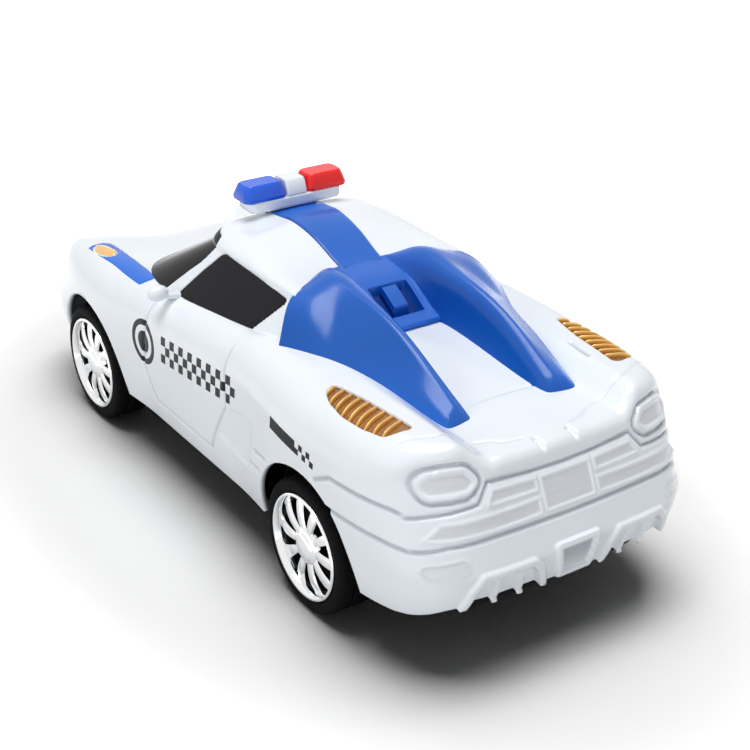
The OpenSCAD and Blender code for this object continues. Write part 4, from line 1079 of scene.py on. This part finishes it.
def build_light_bar():
    top = BAR_Z + TRAY_T
    lens = stack(LENS_LEVELS, BAR_W, LENS_W, top, (LENS_GAP + LENS_W) / 2)
    pieces = (
        ("bar_base", stack(TRAY_LEVELS, BAR_W, BAR_L, BAR_Z), white),
        # The foot is part of the bar's white base, painted grey for the shade under the bar
        ("bar_foot", stack(FOOT_LEVELS, FOOT_L, FOOT_W, BAR_Z), bar_shade_grey),
        ("bar_centre", stack(CENTRE_LEVELS, BAR_W, LENS_GAP, top), white),
    )
    for name, mesh, finish in pieces:
        add_mesh(name, *mesh, finish, "lightbar_base", "body_white")
    add_mesh("bar_lens_blue", *lens, lens_blue, "lightbar_lens_blue", "lens_blue")
    add_mesh("bar_lens_red", *sided(lens, -1), lens_red, "lightbar_lens_red", "lens_red")


build_light_bar()


# Wheels: profiles by radius and distance out from the wheel's face

SEAT_R, HUB_R = RIM_R - 1, 5.4
SPOKES = 10
TREAD_STEPS, TREAD_CUT = 240, 0.35
TREAD_AT = (0.68, 0.35)
TREAD_GROOVE = [(0, -0.75), (-0.15, -0.6), (-0.75, -0.45), (-0.75, 0.45), (-0.15, 0.6), (0, 0.75)]
SHOULDER_IN = [(2.4, 0), (1.3, 0.2), (0.5, 0.7), (0.1, 1.5), (0, 2.2)]
SHOULDER_OUT = [(0, -2.4), (0.08, -1.7), (0.45, -1.0), (1.1, -0.6), (1.9, -0.45)]
TYRE_SEAT = [
    (RIM_R + 0.9, -0.45), (RIM_R + 0.35, -0.6), (RIM_R + 0.05, -1.0), (RIM_R + 0.05, -1.55), (SEAT_R, -1.55),
]
LIP = [
    (SEAT_R - 1.1, -TYRE_W + 0.6), (SEAT_R, -TYRE_W + 0.6), (SEAT_R, -1.5), (RIM_R, -1.5), (RIM_R, -0.5),
    (RIM_R - 0.15, -0.15), (RIM_R - 0.4, 0), (RIM_R - 0.8, -0.05), (RIM_R - 1.05, -0.4), (SEAT_R - 0.5, -1.3),
    (SEAT_R - 0.7, -2.6),
]
HUB = [
    (0.02, -5), (HUB_R + 0.2, -5), (HUB_R + 0.1, -1.9), (HUB_R - 0.3, -1.3), (HUB_R - 1.0, -0.95),
    (3.9, -0.85), (3.6, -0.5), (2.9, -0.25), (1.8, -0.08), (0.02, 0),
]
BACK = [
    (HUB_R - 1, -7.4), (SEAT_R - 0.9, -7.4), (SEAT_R - 0.75, -2.7), (SEAT_R - 1.2, -2.7),
    (SEAT_R - 1.3, -6.6), (HUB_R - 1, -6.6),
]
# Section of a spoke: shares of its half width and heights above its face
SPOKE = [(-0.8, -1.6), (-1, -0.6), (-0.8, -0.15), (-0.4, 0), (0.4, 0), (0.8, -0.15), (1, -0.6), (0.8, -1.6)]


def tyre_mesh():
    """Tyre with two grooves round it and short cuts across its shoulders."""
    profile = [(SEAT_R, -TYRE_W + 0.4), (SEAT_R + 1, -TYRE_W + 0.1)]
    profile += [(TYRE_R - d, h - TYRE_W) for d, h in SHOULDER_IN]
    for share in TREAD_AT:
        profile += [(TYRE_R + d, h - TYRE_W * share) for d, h in TREAD_GROOVE]
    profile += [(TYRE_R - d, h) for d, h in SHOULDER_OUT] + TYRE_SEAT
    v, f = turned(profile, TREAD_STEPS)
    v = v.reshape(TREAD_STEPS, len(profile), 3)
    r, h = np.transpose(profile)
    inner, outer = h < -TYRE_W * TREAD_AT[0] - 0.7, h > -TYRE_W * TREAD_AT[1] + 0.7
    shoulder = (r > TYRE_R - 0.55) & (inner | outer)
    cut = np.arange(TREAD_STEPS) % 6 < 2
    k = 1 - TREAD_CUT / TYRE_R * (cut[:, None] & shoulder)
    v[..., 0] *= k
    v[..., 2] *= k
    return solid(v.reshape(-1, 3), f)


def spoke_mesh(angle):
    """Spoke that widens and falls back a little from the hub to the lip."""
    out = np.array([math.cos(angle), 0, math.sin(angle)])
    across = np.array([-math.sin(angle), 0, math.cos(angle)])
    up = np.array([0, 1, 0])
    rows = []
    for t in np.linspace(0, 1, 10):
        half_w = mix(1.15, 1.85, t)
        face = -1.3 - 0.9 * t * t + 0.4 * math.sin(math.pi * t)
        middle = mix(4.4, SEAT_R - 0.3, t) * out
        rows.append([middle + u * half_w * across + (face + h) * up for u, h in SPOKE])
    return solid(*loft(rows))


def build_wheels():
    spokes = [spoke_mesh(angle) for angle in ring_angles(SPOKES)]
    rim = joined([solid(*turned(LIP, 160)), solid(*turned(HUB, 96))] + spokes)
    pieces = (
        ("wheel_tyre_", tyre_mesh(), rubber, "tyre_", "tyre_black", 32),
        ("wheel_rim_", rim, chrome, "rim_", "rim_chrome", 40),
        ("wheel_back_", solid(*turned(BACK, 96)), black, "rim_", "chassis_black", 32),
    )
    for end, x in (("front", FRONT_X), ("rear", REAR_X)):
        for tag, side in SIDES:
            name = end + "_" + tag
            for piece, mesh, finish, node, slot, smooth in pieces:
                v, f = sided((mesh[0] + [0, FACE_Y, 0], mesh[1]), side)
                v = v + [x, 0, AXLE_Z]
                add_mesh(piece + name, v, f, finish, node + name, slot, end + "_wheels", smooth)


build_wheels()


# Finishes of the carried-over pieces

CARRIED_OVER = (
    (black, ("chassis", "motor_case_left", "motor_case_right")),
    (gear, ("axle_gear", "idler_gear")),
    (steel, ("body_screws", "front_axle", "rear_axle", "idler_pin", "flywheel_pinion", "flywheel")),
)
for finish, nodes in CARRIED_OVER:
    for node in nodes:
        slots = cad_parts[node].data.materials
        slots.clear()
        slots.append(finish)


# Floor, light and camera, in metres

FLOOR_HALF = 6.0
GLOW_FROM, GLOW_TO, GLOW_OVAL = 0.13, 0.25, (1.0, 1.6, 1.0)
WORLD_LIGHT = 0.045
CAMERA_AT = (-0.3457, 0.2173, 0.2342)
CAMERA_BACK = (-0.7386, 0.5025, 0.4494)
CAMERA_LENS, CAMERA_ROLL = 71.92, math.radians(0.378)


def seen_rays(t):
    """One for rays from the camera, from gloss and through glass."""
    ray = node_of(t, "ShaderNodeLightPath").outputs
    inner = maths(t, "MAXIMUM", ray["Is Glossy Ray"], ray["Is Transmission Ray"])
    return maths(t, "MAXIMUM", ray["Is Camera Ray"], inner)


def floor_material():
    """White paper that keeps the shadow near the car and looks evenly white further out."""
    m = plastic("floor_paper", (0.97, 0.97, 0.97), rough=0.7, coat=0.0, vary=0.01, bump=0.0)
    t = m.node_tree
    shader = t.nodes["Principled BSDF"]
    oval = node_of(t, "ShaderNodeVectorMath", operation="MULTIPLY")
    oval.inputs[1].default_value = GLOW_OVAL
    t.links.new(node_of(t, "ShaderNodeTexCoord").outputs["Object"], oval.inputs[0])
    away = node_of(t, "ShaderNodeVectorMath", operation="LENGTH")
    t.links.new(oval.outputs["Vector"], away.inputs[0])
    rise = node_of(
        t, "ShaderNodeMapRange", interpolation_type="SMOOTHSTEP", From_Min=GLOW_FROM, From_Max=GLOW_TO)
    t.links.new(away.outputs["Value"], rise.inputs["Value"])
    t.links.new(times(t, rise.outputs["Result"], seen_rays(t)), shader.inputs["Emission Strength"])
    set_values(shader, Emission_Color=(1, 1, 1, 1))
    return m


def build_floor():
    h = FLOOR_HALF
    me = bpy.data.meshes.new("floor")
    me.from_pydata([(-h, -h, 0), (h, -h, 0), (h, h, 0), (-h, h, 0)], [], [(0, 1, 2, 3)])
    me.materials.append(floor_material())
    floor = linked("floor", me)


def lamp(name, where, look, size_x, size_y, watts):
    data = bpy.data.lights.new(name, "AREA")
    data.shape = "RECTANGLE"
    data.size, data.size_y = size_x, size_y
    data.energy = watts
    ob = linked(name, data)
    d = Vector(look) - Vector(where)
    ob.matrix_world = Matrix.Translation(where) @ d.to_track_quat("-Z", "Y").to_matrix().to_4x4()
    return ob


def build_lamps():
    """Key lamp overhead, and two weaker ones that light the sides and rear but not the floor and cover."""
    lamp("key", (0.05, -0.05, 1.15), (0, 0, 0), 0.75, 0.75, 12.0)
    fill = bpy.data.collections.new("fill_light")
    for name in ("floor", "cover_buttress_left", "cover_buttress_right", "cover_bridge", "cover_stripe"):
        fill.objects.link(bpy.data.objects[name])
    for link in fill.collection_objects:
        link.light_linking.link_state = "EXCLUDE"
    side = lamp("side", (-0.25, 1.0, 0.5), (0, 0, 0.04), 0.7, 0.5, 5.0)
    back = lamp("back", (-1.0, 0.25, 0.5), (0, 0, 0.04), 0.7, 0.5, 2.4)
    for ob in (side, back):
        ob.light_linking.receiver_collection = fill
        ob.visible_glossy = False


def build_world():
    """White surround that lights the car only a little."""
    world = bpy.data.worlds.new("studio")
    bpy.context.scene.world = world
    world.use_nodes = True
    t = world.node_tree
    ground = set_values(t.nodes["Background"], Color=(1, 1, 1, 1))
    level = node_of(t, "ShaderNodeMix", data_type="FLOAT")
    level.inputs[2].default_value = WORLD_LIGHT
    level.inputs[3].default_value = 1.0
    t.links.new(seen_rays(t), level.inputs[0])
    t.links.new(level.outputs[0], ground.inputs["Strength"])


def build_camera():
    """Camera at the photograph's place and angle."""
    cam = bpy.data.cameras.new("camera")
    cam.lens = CAMERA_LENS
    cam.sensor_width = 36.0
    cam.clip_start = 0.01
    ob = linked("camera", cam)
    bpy.context.scene.camera = ob
    back = np.array(CAMERA_BACK) / np.linalg.norm(CAMERA_BACK)
    right = np.cross([0, 0, 1], back)
    right = right / np.linalg.norm(right)
    up = np.cross(back, right)
    c, s = math.cos(CAMERA_ROLL), math.sin(CAMERA_ROLL)
    axes = np.stack([c * right + s * up, c * up - s * right, back, CAMERA_AT], 1)
    ob.matrix_world = Matrix([*axes.tolist(), [0, 0, 0, 1]])


build_floor()
build_lamps()
build_world()
build_camera()
bpy.context.scene.view_settings.view_transform = "Standard"
